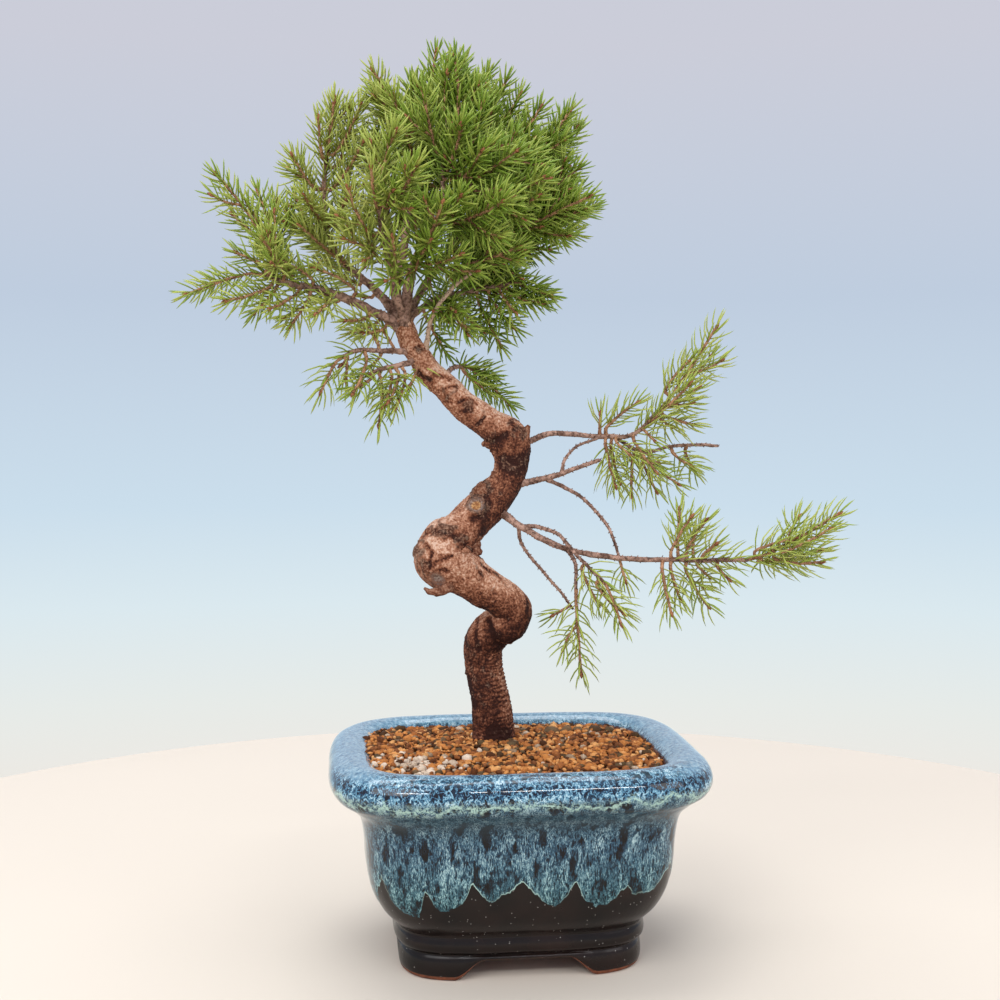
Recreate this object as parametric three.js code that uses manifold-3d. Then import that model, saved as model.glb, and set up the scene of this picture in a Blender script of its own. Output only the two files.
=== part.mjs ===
// A white spruce bonsai in a glazed pot: a twisted trunk, thin branches and short leafy shoots.
// Millimetres, +Z up. The origin is the centre of the pot's base, and -Y is the front.
import * as THREE from 'three';
import { mergeVertices } from 'three/addons/utils/BufferGeometryUtils.js';
import Module from 'manifold-3d';

const wasm = await Module();
wasm.setup();

// Clearance between pieces that touch
const GAP = 0.3;

// Pot: half widths along X with their heights, and the share of them that it measures along Y
const POT_SIDES = 40;
const DEPTH_SHARE = 0.83;
const SQUARENESS = 4.2;
const FLOOR_TOP = 14;
const GROOVE = 10.2;
const UNDERSIDE = [[20, 9], [42.4, 9]];
const FOOT_WALL = [[43, 0], [49, 0], [50, 1.4], [50.4, 5], [49.4, GROOVE]];
const OUTER_WALL = [
  [51.6, 12.2], [51.4, 17], [50.6, 19.4], [53, 21.4],
  [57, 25], [60.8, 33], [62.6, 43], [63.4, 54], [65.6, 63.5], [70.6, 68.8],
];
const RIM = [
  [75.2, 72.4], [77.4, 77.2], [75.6, 82.2], [69.8, 85.4], [63.6, 84.8], [60, 82],
];
const INNER_WALL = [
  [58.6, 78.5], [57.6, 60], [54.6, 36], [48.5, 20], [43.5, FLOOR_TOP], [22, FLOOR_TOP],
];
const ARCH_HEIGHT = 8.3;
const ARCH_FRONT = { top: 17, foot: 27.5 };
const ARCH_SIDE = { top: 15, foot: 23 };
const DRAIN = { x: 20, radius: 5.5, sides: 16 };
const SCREEN = { size: 18, thick: 1, holes: 3, hole: 3.6, pitch: 5.2 };

// Soil: the height of its edge, of its heap at the left and of its mound, and of its grains
const SOIL_EDGE = 82.2;
const SOIL_HEAP = 2.6;
const SOIL_MOUND = 2.8;
const SOIL_RINGS = 7;
const GRAIN_RELIEF = 0.9;

// The tree stands turned and shifted a little in its pot
const TREE_TURN = THREE.MathUtils.degToRad(-2.5);
const TREE_SHIFT = 1;
const SIDES = { trunk: 12, stub: 7, limb: 5, twig: 3 };

// Leafy twigs: their radius, how far a stem bows out, and a side twig's length and lean
const TWIG = { root: 1.1, tip: 0.85, bow: 0.12, seat: 0.5 };
const SIDE_TWIG = {
  first: 0.3, last: 0.8, least: 5, share: 0.42, ahead: 0.72, aside: 0.7, bow: 0.06, roll: 2.4,
};
// Needles: their size, their distance along a twig, and their angle to it at its tip and past it
const NEEDLE = { length: 9.5, vary: 0.1, root: 0.42, spacing: 3.05, shut: 24, open: 56, tuft: 9 };
const BARE_STEM = 5;
const BARE_TWIG = 2;
const GOLDEN_TURN = Math.PI * (3 - Math.sqrt(5));
// A needle with no room is turned and tried again
const TRIES = 4;
const TRY_TURN = 0.9;
// Corners closer than this are drawn together where needles meet their twig
const FINEST = 0.12;

// The trunk's buried foot: x, y, z and radius
const FOOT = [[-8.5, 14, 60, 7], [-8.8, 14, 72, 8.4]];
// The trunk, from the soil to the fork: x, y, z and radius
const TRUNK = [
  [-9, 14, 80, 9.6], [-9, 14, 88, 8.8], [-10, 14, 98, 8.5], [-12, 15, 108, 8.4], [-14, 16, 118, 8.1],
  [-14, 15, 126, 8], [-10, 12, 133, 8.3], [-4, 8, 136, 8.4], [-1, 6, 140, 8.4], [-5, 4, 145, 8.3],
  [-13, 1, 150.5, 8.6], [-22, -1, 156.5, 10], [-30, -1, 163, 12.8], [-30, 0, 170, 12.4],
  [-25, 2, 175, 10.5], [-18, 5, 180, 9], [-11, 7, 187, 8.6], [-4, 8, 196, 7.5], [-2, 9, 205, 8],
  [-3, 9, 212, 9.2], [-6, 8, 217, 9.2], [-10, 7, 220, 7.8], [-16, 6, 223, 6.8], [-23, 5, 229, 6.1],
  [-30, 4, 236, 5.4], [-36, 4, 241, 5.1], [-40, 3, 247, 4.7], [-44, 3, 252, 4.3], [-46, 2, 258, 4.2],
  [-48, 2, 263, 3.6],
];
// Cut and torn stubs that stand out of the trunk
const STUBS = [
  [[-31, -3, 162, 6], [-36, -8, 156, 4], [-39, -10, 152, 1.8]],
  [[-16, 2, 152, 5], [-14, -7, 152, 3.4], [-13, -9, 152, 2.4]],
  [[-11, 6, 189, 5], [-15, -1, 188, 3.8], [-16, -3, 188, 3]],
  [[-1, 9, 212, 5], [4, 7, 216, 2.6], [6, 7, 219, 1.1]],
  [[-30, 4, 172, 5], [-38, -5, 174, 3.4], [-40, -7, 174, 2.4]],
  [[-23, 5, 228, 4], [-26, -1, 230, 2.2], [-27, -2, 231, 1.4]],
];

// Branches: the radius at both ends and the points that each one passes
const LIMBS = {
  stem_a: [2.9, 1, [-47, 2, 259], [-50, 4, 275], [-48, 6, 286], [-45, 9, 307], [-45, 8, 331], [-50, 5, 340]],
  stem_b: [2.9, 1, [-47, 1, 260], [-45, -2, 274], [-42, -6, 286], [-31, -13, 303], [-19, -18, 316]],
  stem_c: [1.2, 0.8, [-31, -13, 303], [-31, -12, 317], [-30, -8, 343]],
  stem_e: [2, 0.9, [-47, 3, 260], [-38, 14, 277], [-24, 24, 297], [-12, 28, 316]],
  stem_f: [2, 0.9, [-48, 3, 262], [-51, 18, 284], [-54, 30, 305], [-52, 36, 324]],
  stem_g: [1.8, 0.9, [-47, 0, 262], [-52, -14, 282], [-56, -24, 298], [-55, -30, 314]],
  stem_h: [1.7, 0.9, [-46, 4, 262], [-34, 9, 271], [-18, 9, 275], [-2, 7, 278]],
  bare_twig: [1.1, 0.7, [-38, 2, 249], [-36, -4, 261], [-33, -8, 267], [-26, -11, 275], [-18, -14, 281]],
  left: [2.5, 1, [-47, 2, 258], [-57, -2, 264], [-76, -9, 272], [-95, -12, 276], [-103, -12, 279]],
  upper_left: [2.3, 0.9, [-48, 3, 262], [-58, 6, 274], [-76, 11, 292], [-80, 12, 312], [-78, 10, 336]],
  lower_left: [1.6, 0.8, [-44, 2, 249], [-55, -4, 249], [-65, -9, 249], [-72, -12, 246]],
  lower_left_b: [1.4, 0.8, [-41, 2, 246], [-49, -4, 243], [-57, -8, 241], [-62, -10, 239]],
  back_twig: [1.4, 0.8, [-31, 5, 238], [-26, 14, 243], [-20, 24, 244]],
  right_1: [2, 1, [0, 9, 210], [7, 11, 212], [15, 13, 215], [38, 16, 214], [52, 17, 215], [65, 18, 227]],
  right_1b: [1.1, 0.8, [37, 16, 214], [45, 19, 213], [56, 20, 207], [73, 24, 210], [81, 25, 210]],
  right_2: [2.2, 0.9, [0, 8, 194], [11, 6, 196], [21, 4, 199], [35, 0, 204]],
  hook_twig: [0.9, 0.7, [19, 4, 198], [21, 6, 204], [25, 8, 209], [32, 11, 211.5]],
  arch_twig: [1, 0.7, [13, 6, 196], [25, 2, 190], [31, 0, 185], [38, -3, 176], [42, -6, 164]],
  right_3: [2.6, 1, [-8, 6, 183], [2, 1, 176], [11, -2, 171], [30, -6, 165], [63, -11, 163], [95, -13, 163]],
  over_twig: [1.1, 0.8, [1, 1, 176], [9, 0, 176], [17, -5, 173], [26, -12, 163], [34, -16, 155]],
  thin_twig: [0.9, 0.7, [1, 2, 176], [2, 6, 169], [8, 9, 161], [20, 12, 147], [25, 13, 140]],
  drop_twig: [1, 0.8, [21, -4, 167], [24, -7, 161], [24, -8, 151]],
};

// Leafy shoots: the branch, how far along it they leave, the tip, and how many side twigs
const SHOOTS = [
  ['stem_a', 1, [-56, 2, 353], 1], ['stem_a', 0.95, [-60, 14, 361], 1], ['stem_a', 0.9, [-43, 15, 363], 2],
  ['stem_a', 0.68, [-69, 24, 342], 2],
  ['stem_c', 1, [-29, -8, 364], 2], ['stem_c', 0.87, [-20, -1, 359], 1],
  ['stem_c', 0.55, [-23, -26, 338], 1],
  ['stem_b', 0.98, [-12, -25, 329], 1], ['stem_b', 0.97, [11, -18, 317], 2],
  ['stem_b', 1, [9, -4, 330], 2], ['stem_b', 0.75, [-5, -38, 306], 2],
  ['stem_b', 0.5, [-1, -16, 290], 2], ['stem_b', 0.45, [-32, -44, 303], 2],
  ['stem_e', 1, [-12, 12, 360], 2], ['stem_e', 0.94, [4, 31, 352], 1], ['stem_e', 0.88, [9, 9, 338], 1],
  ['stem_e', 0.97, [22, 28, 341], 1], ['stem_e', 0.82, [27, 13, 327], 2], ['stem_e', 0.78, [8, 46, 334], 2],
  ['stem_f', 1, [-38, 34, 360], 1], ['stem_f', 0.94, [-21, 50, 346], 1],
  ['stem_f', 0.9, [-57, 50, 341], 2], ['stem_f', 0.7, [-35, 56, 318], 2],
  ['stem_g', 1, [-51, -34, 332], 1], ['stem_g', 0.8, [-42, -48, 316], 2],
  ['stem_g', 0.5, [-70, -30, 291], 2],
  ['stem_e', 0.72, [29, 6, 309], 2], ['stem_h', 1, [15, 8, 273], 2], ['stem_h', 0.93, [7, 29, 295], 1],
  ['stem_h', 0.37, [-21, -10, 258], 1], ['stem_h', 0.6, [-4, 44, 288], 2],
  ['upper_left', 1, [-75, 8, 353], 1], ['upper_left', 0.8, [-92, 4, 329], 1],
  ['upper_left', 0.62, [-68, -6, 314], 1], ['upper_left', 0.55, [-94, 0, 305], 1],
  ['upper_left', 0.5, [-86, 30, 300], 2],
  ['left', 1, [-133.5, -10, 271], 2], ['left', 0.95, [-121, -14, 318], 2], ['left', 0.9, [-106, 0, 314], 1],
  ['left', 0.75, [-101, -34, 290], 1], ['left', 0.6, [-92, -18, 258], 1],
  ['lower_left', 1, [-80, -15, 232], 1], ['lower_left', 0.6, [-67, -24, 231], 0],
  ['lower_left_b', 0.7, [-57, -12, 219], 0], ['back_twig', 1, [-8, 32, 240], 1],
  ['right_1', 1, [88, 18, 261], 3], ['right_1', 0.9, [74, 6, 236], 0], ['right_1', 0.79, [60, 8, 199], 1],
  ['right_1', 0.62, [43, 10, 193], 1],
  ['right_3', 1, [132, -16, 182], 4], ['right_3', 0.8, [70, -18, 181], 2],
  ['right_3', 0.78, [62, -18, 142], 1], ['right_3', 0.84, [80, -6, 143], 1],
  ['over_twig', 1, [41, -20, 138], 0], ['drop_twig', 1, [26, -10, 116], 2],
];

const GLAZE = { color: 0x2f6f92, roughness: 0.25, metalness: 0 };
const AKADAMA = { color: 0xb87a3e, roughness: 0.95, metalness: 0 };
const MESH_PLASTIC = { color: 0x2d3330, roughness: 0.6, metalness: 0 };
const BARK = { color: 0x7d5340, roughness: 0.9, metalness: 0 };
const FOLIAGE = { color: 0x6f9a35, roughness: 0.6, metalness: 0 };

// A repeatable draw between 0 and 1 for each number k
function draw(k) {
  const wave = Math.sin(k * 12.9898) * 43758.5453;
  return wave - Math.floor(wave);
}

function vec([x, y, z]) {
  return new THREE.Vector3(x, y, z);
}

// Joins a stack of equal rings into one closed skin, with a fan over each end
function skin(rings) {
  const count = rings[0].length;
  const position = [];
  const index = [];
  for (const ring of rings) for (const point of ring) position.push(point.x, point.y, point.z);
  for (let i = 0; i + 1 < rings.length; i++) {
    for (let j = 0; j < count; j++) {
      const a = i * count + j;
      const b = i * count + (j + 1) % count;
      index.push(a, b, b + count, a, b + count, a + count);
    }
  }
  addFan(rings[0], 0, position, index, true);
  addFan(rings.at(-1), (rings.length - 1) * count, position, index, false);
  const geometry = new THREE.BufferGeometry();
  geometry.setAttribute('position', new THREE.Float32BufferAttribute(position, 3));
  geometry.setIndex(index);
  return geometry;
}

function addFan(ring, first, position, index, turned) {
  const centre = new THREE.Vector3();
  for (const point of ring) centre.addScaledVector(point, 1 / ring.length);
  const hub = position.length / 3;
  position.push(centre.x, centre.y, centre.z);
  for (let j = 0; j < ring.length; j++) {
    const next = (j + 1) % ring.length;
    if (turned) index.push(hub, first + next, first + j);
    else index.push(hub, first + j, first + next);
  }
}

function toSolid(geometry) {
  const plain = geometry.clone();
  plain.deleteAttribute('normal');
  plain.deleteAttribute('uv');
  const merged = mergeVertices(plain, 1e-4);
  return new wasm.Manifold(new wasm.Mesh({
    numProp: 3,
    vertProperties: new Float32Array(merged.attributes.position.array),
    triVerts: new Uint32Array(merged.index.array),
  }));
}

function toGeometry(solid) {
  const mesh = solid.getMesh();
  const geometry = new THREE.BufferGeometry();
  geometry.setAttribute('position', new THREE.Float32BufferAttribute(mesh.vertProperties, 3));
  geometry.setIndex([...mesh.triVerts]);
  geometry.computeVertexNormals();
  return geometry;
}

function named(name, geometry, finish) {
  const mesh = new THREE.Mesh(geometry, new THREE.MeshStandardMaterial(finish));
  mesh.name = name;
  return mesh;
}

// A point of the pot's plan, a soft rectangle, at the turn t
function planPoint(t, halfX, halfY, z) {
  const x = halfX * Math.sign(Math.cos(t)) * Math.abs(Math.cos(t)) ** (2 / SQUARENESS);
  const y = halfY * Math.sign(Math.sin(t)) * Math.abs(Math.sin(t)) ** (2 / SQUARENESS);
  return new THREE.Vector3(x, y, z);
}

function planRing(halfX, z, shrink = 0) {
  const ring = [];
  for (let j = 0; j < POT_SIDES; j++) {
    const t = (j / POT_SIDES) * 2 * Math.PI;
    ring.push(planPoint(t, halfX - shrink, DEPTH_SHARE * halfX - shrink, z));
  }
  return ring;
}

// How far the foot ring's lower edge is lifted: the arches between the four feet
function archLift(point) {
  const onFront = Math.abs(point.y) / DEPTH_SHARE > Math.abs(point.x);
  const arch = onFront ? ARCH_FRONT : ARCH_SIDE;
  const along = onFront ? Math.abs(point.x) : Math.abs(point.y);
  return ARCH_HEIGHT * (1 - THREE.MathUtils.smoothstep(along, arch.top, arch.foot));
}

// A ring of the foot, with its height squeezed between the arch and the groove above the feet
function footRing(halfX, z) {
  const ring = planRing(halfX, z);
  for (const point of ring) {
    const lift = archLift(point);
    point.z = lift + z * (GROOVE - lift) / GROOVE;
  }
  return ring;
}

function makePot() {
  const rings = UNDERSIDE.map(([halfX, z]) => planRing(halfX, z));
  for (const [halfX, z] of FOOT_WALL) rings.push(footRing(halfX, z));
  for (const [halfX, z] of [...OUTER_WALL, ...RIM, ...INNER_WALL]) rings.push(planRing(halfX, z));
  let pot = toSolid(skin(rings));
  for (const side of [-1, 1]) {
    const drill = new THREE.CylinderGeometry(DRAIN.radius, DRAIN.radius, 2 * FLOOR_TOP, DRAIN.sides);
    drill.rotateX(Math.PI / 2).translate(side * DRAIN.x, 0, FLOOR_TOP);
    pot = pot.subtract(toSolid(drill));
  }
  return named('pot', toGeometry(pot), GLAZE);
}

// A square of plastic netting that keeps the soil out of a drain hole
function makeScreen(side, name) {
  let netting = toSolid(new THREE.BoxGeometry(SCREEN.size, SCREEN.size, SCREEN.thick));
  for (let i = 0; i < SCREEN.holes ** 2; i++) {
    const column = i % SCREEN.holes - (SCREEN.holes - 1) / 2;
    const row = Math.floor(i / SCREEN.holes) - (SCREEN.holes - 1) / 2;
    const hole = new THREE.BoxGeometry(SCREEN.hole, SCREEN.hole, 2 * SCREEN.thick);
    hole.translate(column * SCREEN.pitch, row * SCREEN.pitch, 0);
    netting = netting.subtract(toSolid(hole));
  }
  const screen = named(name, toGeometry(netting), MESH_PLASTIC);
  screen.position.set(side * DRAIN.x, 0, FLOOR_TOP + GAP + SCREEN.thick / 2);
  return screen;
}

// The pot's inside half width at a height, straight between the points of its inner wall
function innerHalf(z) {
  const wall = [...INNER_WALL].reverse().concat([...RIM].reverse().slice(0, 3));
  for (let i = 0; i + 1 < wall.length; i++) {
    const [low, high] = [wall[i], wall[i + 1]];
    if (z <= high[1]) return low[0] + (high[0] - low[0]) * Math.max(0, z - low[1]) / (high[1] - low[1]);
  }
  return wall.at(-1)[0];
}

// The soil's top at a turn t and a share of the way out: a mound with grains, heaped at the left
function soilPoint(t, share, seed) {
  const heap = SOIL_HEAP * Math.max(0, -Math.cos(t)) ** 3;
  const edge = SOIL_EDGE + heap * share;
  const half = innerHalf(SOIL_EDGE + heap);
  const grain = share === 1 ? 0 : GRAIN_RELIEF * (2 * draw(seed) - 1);
  const z = edge + SOIL_MOUND * (1 - share * share) + grain;
  return planPoint(t, (half - 2 * GAP) * share, (DEPTH_SHARE * half - 2 * GAP) * share, z);
}

function makeSoil() {
  const rings = [RIM.at(-1), ...INNER_WALL].reverse().map(([halfX, z]) => {
    return planRing(halfX, Math.max(z, FLOOR_TOP + GAP), 2 * GAP);
  });
  for (let i = SOIL_RINGS; i > 0; i--) {
    const ring = [];
    for (let j = 0; j < POT_SIDES; j++) {
      ring.push(soilPoint((j / POT_SIDES) * 2 * Math.PI, i / SOIL_RINGS, i * POT_SIDES + j));
    }
    rings.push(ring);
  }
  const foot = skin(ringsAlong(sample([...FOOT, ...TRUNK.slice(0, 3)], 2), SIDES.trunk, 2 * GAP));
  foot.rotateZ(TREE_TURN).translate(TREE_SHIFT, 0, 0);
  let soil = toSolid(skin(rings)).subtract(toSolid(foot));
  for (const side of [-1, 1]) {
    const room = SCREEN.size + 2 * GAP;
    const pocket = new THREE.BoxGeometry(room, room, 2 * (SCREEN.thick + 2 * GAP));
    pocket.translate(side * DRAIN.x, 0, FLOOR_TOP);
    soil = soil.subtract(toSolid(pocket));
  }
  return named('soil', toGeometry(soil), AKADAMA);
}

// Points and radii along a smooth curve through [x, y, z, radius] points
function sample(points, perSpan) {
  const curve = new THREE.CatmullRomCurve3(points.map(vec));
  const spans = points.length - 1;
  const out = [];
  for (let i = 0; i <= spans * perSpan; i++) {
    const place = i / perSpan;
    const low = Math.min(Math.floor(place), spans - 1);
    const radius = THREE.MathUtils.lerp(points[low][3], points[low + 1][3], place - low);
    out.push({ point: curve.getPoint(i / (spans * perSpan)), radius });
  }
  return out;
}

// Rings square to a sampled path, each turned as little as possible from the one before.
// The first is drawn from any direction that the path doesn't follow.
function ringsAlong(path, sides, grow = 0) {
  let across = new THREE.Vector3(1, 0.2, 0.1);
  return path.map(({ point, radius }, i) => {
    const before = path[Math.max(i - 1, 0)].point;
    const after = path[Math.min(i + 1, path.length - 1)].point;
    const along = after.clone().sub(before).normalize();
    if (Math.abs(across.dot(along)) > 0.95 * across.length()) across.set(0.1, 1, 0.2);
    across = across.clone().addScaledVector(along, -across.dot(along)).normalize();
    const other = along.clone().cross(across);
    const ring = [];
    for (let j = 0; j < sides; j++) {
      const turn = (j / sides) * 2 * Math.PI;
      const reach = radius + grow;
      ring.push(point.clone().addScaledVector(across, reach * Math.cos(turn))
        .addScaledVector(other, reach * Math.sin(turn)));
    }
    return ring;
  });
}

function tubeSolid(points, sides, perSpan) {
  return toSolid(skin(ringsAlong(sample(points, perSpan), sides)));
}

// A branch's points with its radius thinning evenly from root to tip
function tapered([rootRadius, tipRadius, ...points]) {
  return points.map((point, i) => {
    return [...point, THREE.MathUtils.lerp(rootRadius, tipRadius, i / (points.length - 1))];
  });
}

function makeTree() {
  const parts = [tubeSolid([...FOOT, ...TRUNK], SIDES.trunk, 1)];
  for (const stub of STUBS) parts.push(tubeSolid(stub, SIDES.stub, 1));
  for (const limb of Object.values(LIMBS)) parts.push(tubeSolid(tapered(limb), SIDES.limb, 2));
  return named('tree', toGeometry(wasm.Manifold.union(parts)), BARK);
}

// Every straight stretch of wood or needle made so far, for keeping shoots clear of each other
const stretches = [];

function addPath(path, owner) {
  for (let i = 0; i + 1 < path.length; i++) {
    stretches.push({
      from: path[i].point, to: path[i + 1].point, owner,
      radius: Math.max(path[i].radius, path[i + 1].radius),
    });
  }
}

// The least distance between two straight stretches
function distance(a, b) {
  const u = a.to.clone().sub(a.from);
  const v = b.to.clone().sub(b.from);
  const w = a.from.clone().sub(b.from);
  const [uu, uv, vv, uw, vw] = [u.dot(u), u.dot(v), v.dot(v), u.dot(w), v.dot(w)];
  const flat = uu * vv - uv * uv;
  let s = flat > 1e-9 ? THREE.MathUtils.clamp((uv * vw - vv * uw) / flat, 0, 1) : 0;
  const t = THREE.MathUtils.clamp((uv * s + vw) / vv, 0, 1);
  s = THREE.MathUtils.clamp((uv * t - uw) / uu, 0, 1);
  return w.addScaledVector(u, s).addScaledVector(v, -t).length();
}

function isClear(stretch, owner) {
  return stretches.every((other) => {
    if (other.owner === owner) return true;
    return distance(stretch, other) > stretch.radius + other.radius + GAP;
  });
}

// The stem of a shoot: it leaves its branch squarely, just clear of it, and bends to its tip
function shootStem([limbName, share, tip]) {
  const limb = sample(tapered(LIMBS[limbName]), 2);
  const place = Math.min(share * (limb.length - 1), limb.length - 1);
  const low = Math.min(Math.floor(place), limb.length - 2);
  const root = limb[low].point.clone().lerp(limb[low + 1].point, place - low);
  const radius = THREE.MathUtils.lerp(limb[low].radius, limb[low + 1].radius, place - low);
  const along = limb[low + 1].point.clone().sub(limb[low].point).normalize();
  const end = vec(tip);
  const out = end.clone().sub(root);
  if (share === 1) out.normalize().add(along);
  else out.addScaledVector(along, -out.dot(along));
  out.normalize();
  const start = root.clone().addScaledVector(out, GAP + (share === 1 ? TWIG.seat : radius + 0.1));
  const length = start.distanceTo(end);
  const middle = start.clone().lerp(end, 0.5).addScaledVector(out, TWIG.bow * length);
  return [start, start.clone().addScaledVector(out, TWIG.bow * length), middle, end];
}

// Side twigs leave a stem to both sides in turn and point forward
function sideTwig(stem, i, count, seed) {
  const share = SIDE_TWIG.first + (SIDE_TWIG.last - SIDE_TWIG.first) * i / count;
  const place = share * (stem.length - 1);
  const low = Math.floor(place);
  const from = stem[low].point;
  const along = stem[low + 1].point.clone().sub(from).normalize();
  const level = new THREE.Vector3(0, 0, 1).cross(along);
  if (level.length() < 0.3) level.set(0, 1, 0).cross(along);
  level.normalize().applyAxisAngle(along, (draw(seed) - 0.5) * SIDE_TWIG.roll + (i % 2) * Math.PI);
  const reach = SIDE_TWIG.least + SIDE_TWIG.share * from.distanceTo(stem.at(-1).point);
  const end = from.clone().addScaledVector(along, SIDE_TWIG.ahead * reach);
  end.addScaledVector(level, SIDE_TWIG.aside * reach);
  const bend = from.clone().lerp(end, 0.5).addScaledVector(level, SIDE_TWIG.bow * reach);
  return [from.clone(), bend, end];
}

function twigPath(points) {
  const last = points.length - 1;
  return sample(points.map((p, i) => {
    return [p.x, p.y, p.z, THREE.MathUtils.lerp(TWIG.root, TWIG.tip, i / last)];
  }), 1);
}

// A point on a path of straight spans, and the direction there, at a length from its start
function pointAt(path, length) {
  let left = length;
  for (let i = 0; i + 1 < path.length; i++) {
    const span = path[i + 1].point.clone().sub(path[i].point);
    const along = span.clone().normalize();
    if (left <= span.length() || i + 2 === path.length) {
      return { from: path[i].point.clone().addScaledVector(along, Math.min(left, span.length())), along };
    }
    left -= span.length();
  }
}

function lengthOf(path) {
  return path.slice(1).reduce((sum, { point }, i) => sum + point.distanceTo(path[i].point), 0);
}

// Where needles may grow on a twig: from its tip back, each a golden turn from the one before
function needlePlaces(path, owner, bare) {
  const length = lengthOf(path);
  const places = [];
  for (let back = 0; back <= length - bare; back += NEEDLE.spacing) {
    const seed = places.length + length;
    const turn = seed * GOLDEN_TURN;
    places.push({ ...pointAt(path, length - back), owner, back, turn, seed });
  }
  return places;
}

function needleStretch({ from, along, owner, back, turn, seed }, tries) {
  const opened = Math.min(back / NEEDLE.tuft, 1);
  const open = THREE.MathUtils.degToRad(THREE.MathUtils.lerp(NEEDLE.shut, NEEDLE.open, opened));
  const side = new THREE.Vector3(0.3, 0.2, 1).cross(along).normalize();
  side.applyAxisAngle(along, turn + tries * TRY_TURN);
  const length = NEEDLE.length * (1 + NEEDLE.vary * (2 * draw(seed) - 1));
  const aim = along.clone().multiplyScalar(Math.cos(open)).addScaledVector(side, Math.sin(open));
  return { from, to: from.clone().addScaledVector(aim, length), radius: NEEDLE.root, owner };
}

// A three-sided needle, from its root inside the twig to its point
function needleSolid({ from, to }) {
  const along = to.clone().sub(from).normalize();
  const across = new THREE.Vector3(0.2, 0.1, 1).cross(along).normalize();
  const other = along.clone().cross(across);
  const ring = [0, 1, 2].map((j) => {
    const turn = (j / 3) * 2 * Math.PI;
    return from.clone().addScaledVector(across, NEEDLE.root * Math.cos(turn))
      .addScaledVector(other, NEEDLE.root * Math.sin(turn));
  });
  const position = [...ring, to].flatMap((p) => [p.x, p.y, p.z]);
  const geometry = new THREE.BufferGeometry();
  geometry.setAttribute('position', new THREE.Float32BufferAttribute(position, 3));
  geometry.setIndex([0, 2, 1, 0, 1, 3, 1, 2, 3, 2, 0, 3]);
  return toSolid(geometry);
}

// The stems and side twigs of every shoot, with those side twigs left out that have no room
function growTwigs() {
  addPath(sample([...FOOT, ...TRUNK], 2), 'wood');
  for (const limb of Object.values(LIMBS)) addPath(sample(tapered(limb), 2), 'wood');
  const shoots = SHOOTS.map((shoot, owner) => {
    return { owner, limb: shoot[0], paths: [twigPath(shootStem(shoot))], needles: [] };
  });
  for (const { owner, paths } of shoots) addPath(paths[0], owner);
  SHOOTS.forEach(([, , , count], owner) => {
    for (let i = 0; i < count; i++) {
      const twig = twigPath(sideTwig(shoots[owner].paths[0], i, count, owner * 5 + i));
      const whole = { from: twig[0].point, to: twig.at(-1).point, radius: TWIG.root };
      if (!isClear(whole, owner)) continue;
      shoots[owner].paths.push(twig);
      addPath(twig, owner);
    }
  });
  return shoots;
}

// Needles for all the shoots together, the tips first, each where it has room
function growNeedles(shoots) {
  const places = shoots.flatMap(({ owner, paths }) => {
    return paths.flatMap((path, i) => needlePlaces(path, owner, i === 0 ? BARE_STEM : BARE_TWIG));
  });
  places.sort((a, b) => a.back - b.back || a.owner - b.owner);
  for (const place of places) {
    for (let tries = 0; tries < TRIES; tries++) {
      const needle = needleStretch(place, tries);
      if (!isClear(needle, place.owner)) continue;
      shoots[place.owner].needles.push(needle);
      stretches.push(needle);
      break;
    }
  }
}

function makeShoots() {
  const shoots = growTwigs();
  growNeedles(shoots);
  return shoots.map(({ owner, limb, paths, needles }) => {
    const twigs = paths.map((path) => toSolid(skin(ringsAlong(path, SIDES.twig))));
    const spray = wasm.Manifold.union([...twigs, ...needles.map(needleSolid)]);
    const name = `shoot_${limb}_${String(owner + 1).padStart(2, '0')}`;
    return named(name, toGeometry(spray.simplify(FINEST)), FOLIAGE);
  });
}

const group = new THREE.Group();
group.add(makePot(), makeScreen(-1, 'drain_screen_left'), makeScreen(1, 'drain_screen_right'));
const plant = new THREE.Group();
plant.add(makeTree(), ...makeShoots());
plant.rotation.z = TREE_TURN;
plant.position.x = TREE_SHIFT;
group.add(makeSoil(), plant);

export default group;
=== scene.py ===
# %% [markdown]
# # A white spruce bonsai in a glazed pot
#
# The real thing is a fired clay pot under a running glaze, a bed of loose clay grains, and a small
# twisted spruce that was bent, cut back and left to heal for years. The solids already hold every
# size and place. This lesson gives them their surfaces one piece at a time, and each step first asks
# what the real piece is made of and how it came to look as it does.

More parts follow.
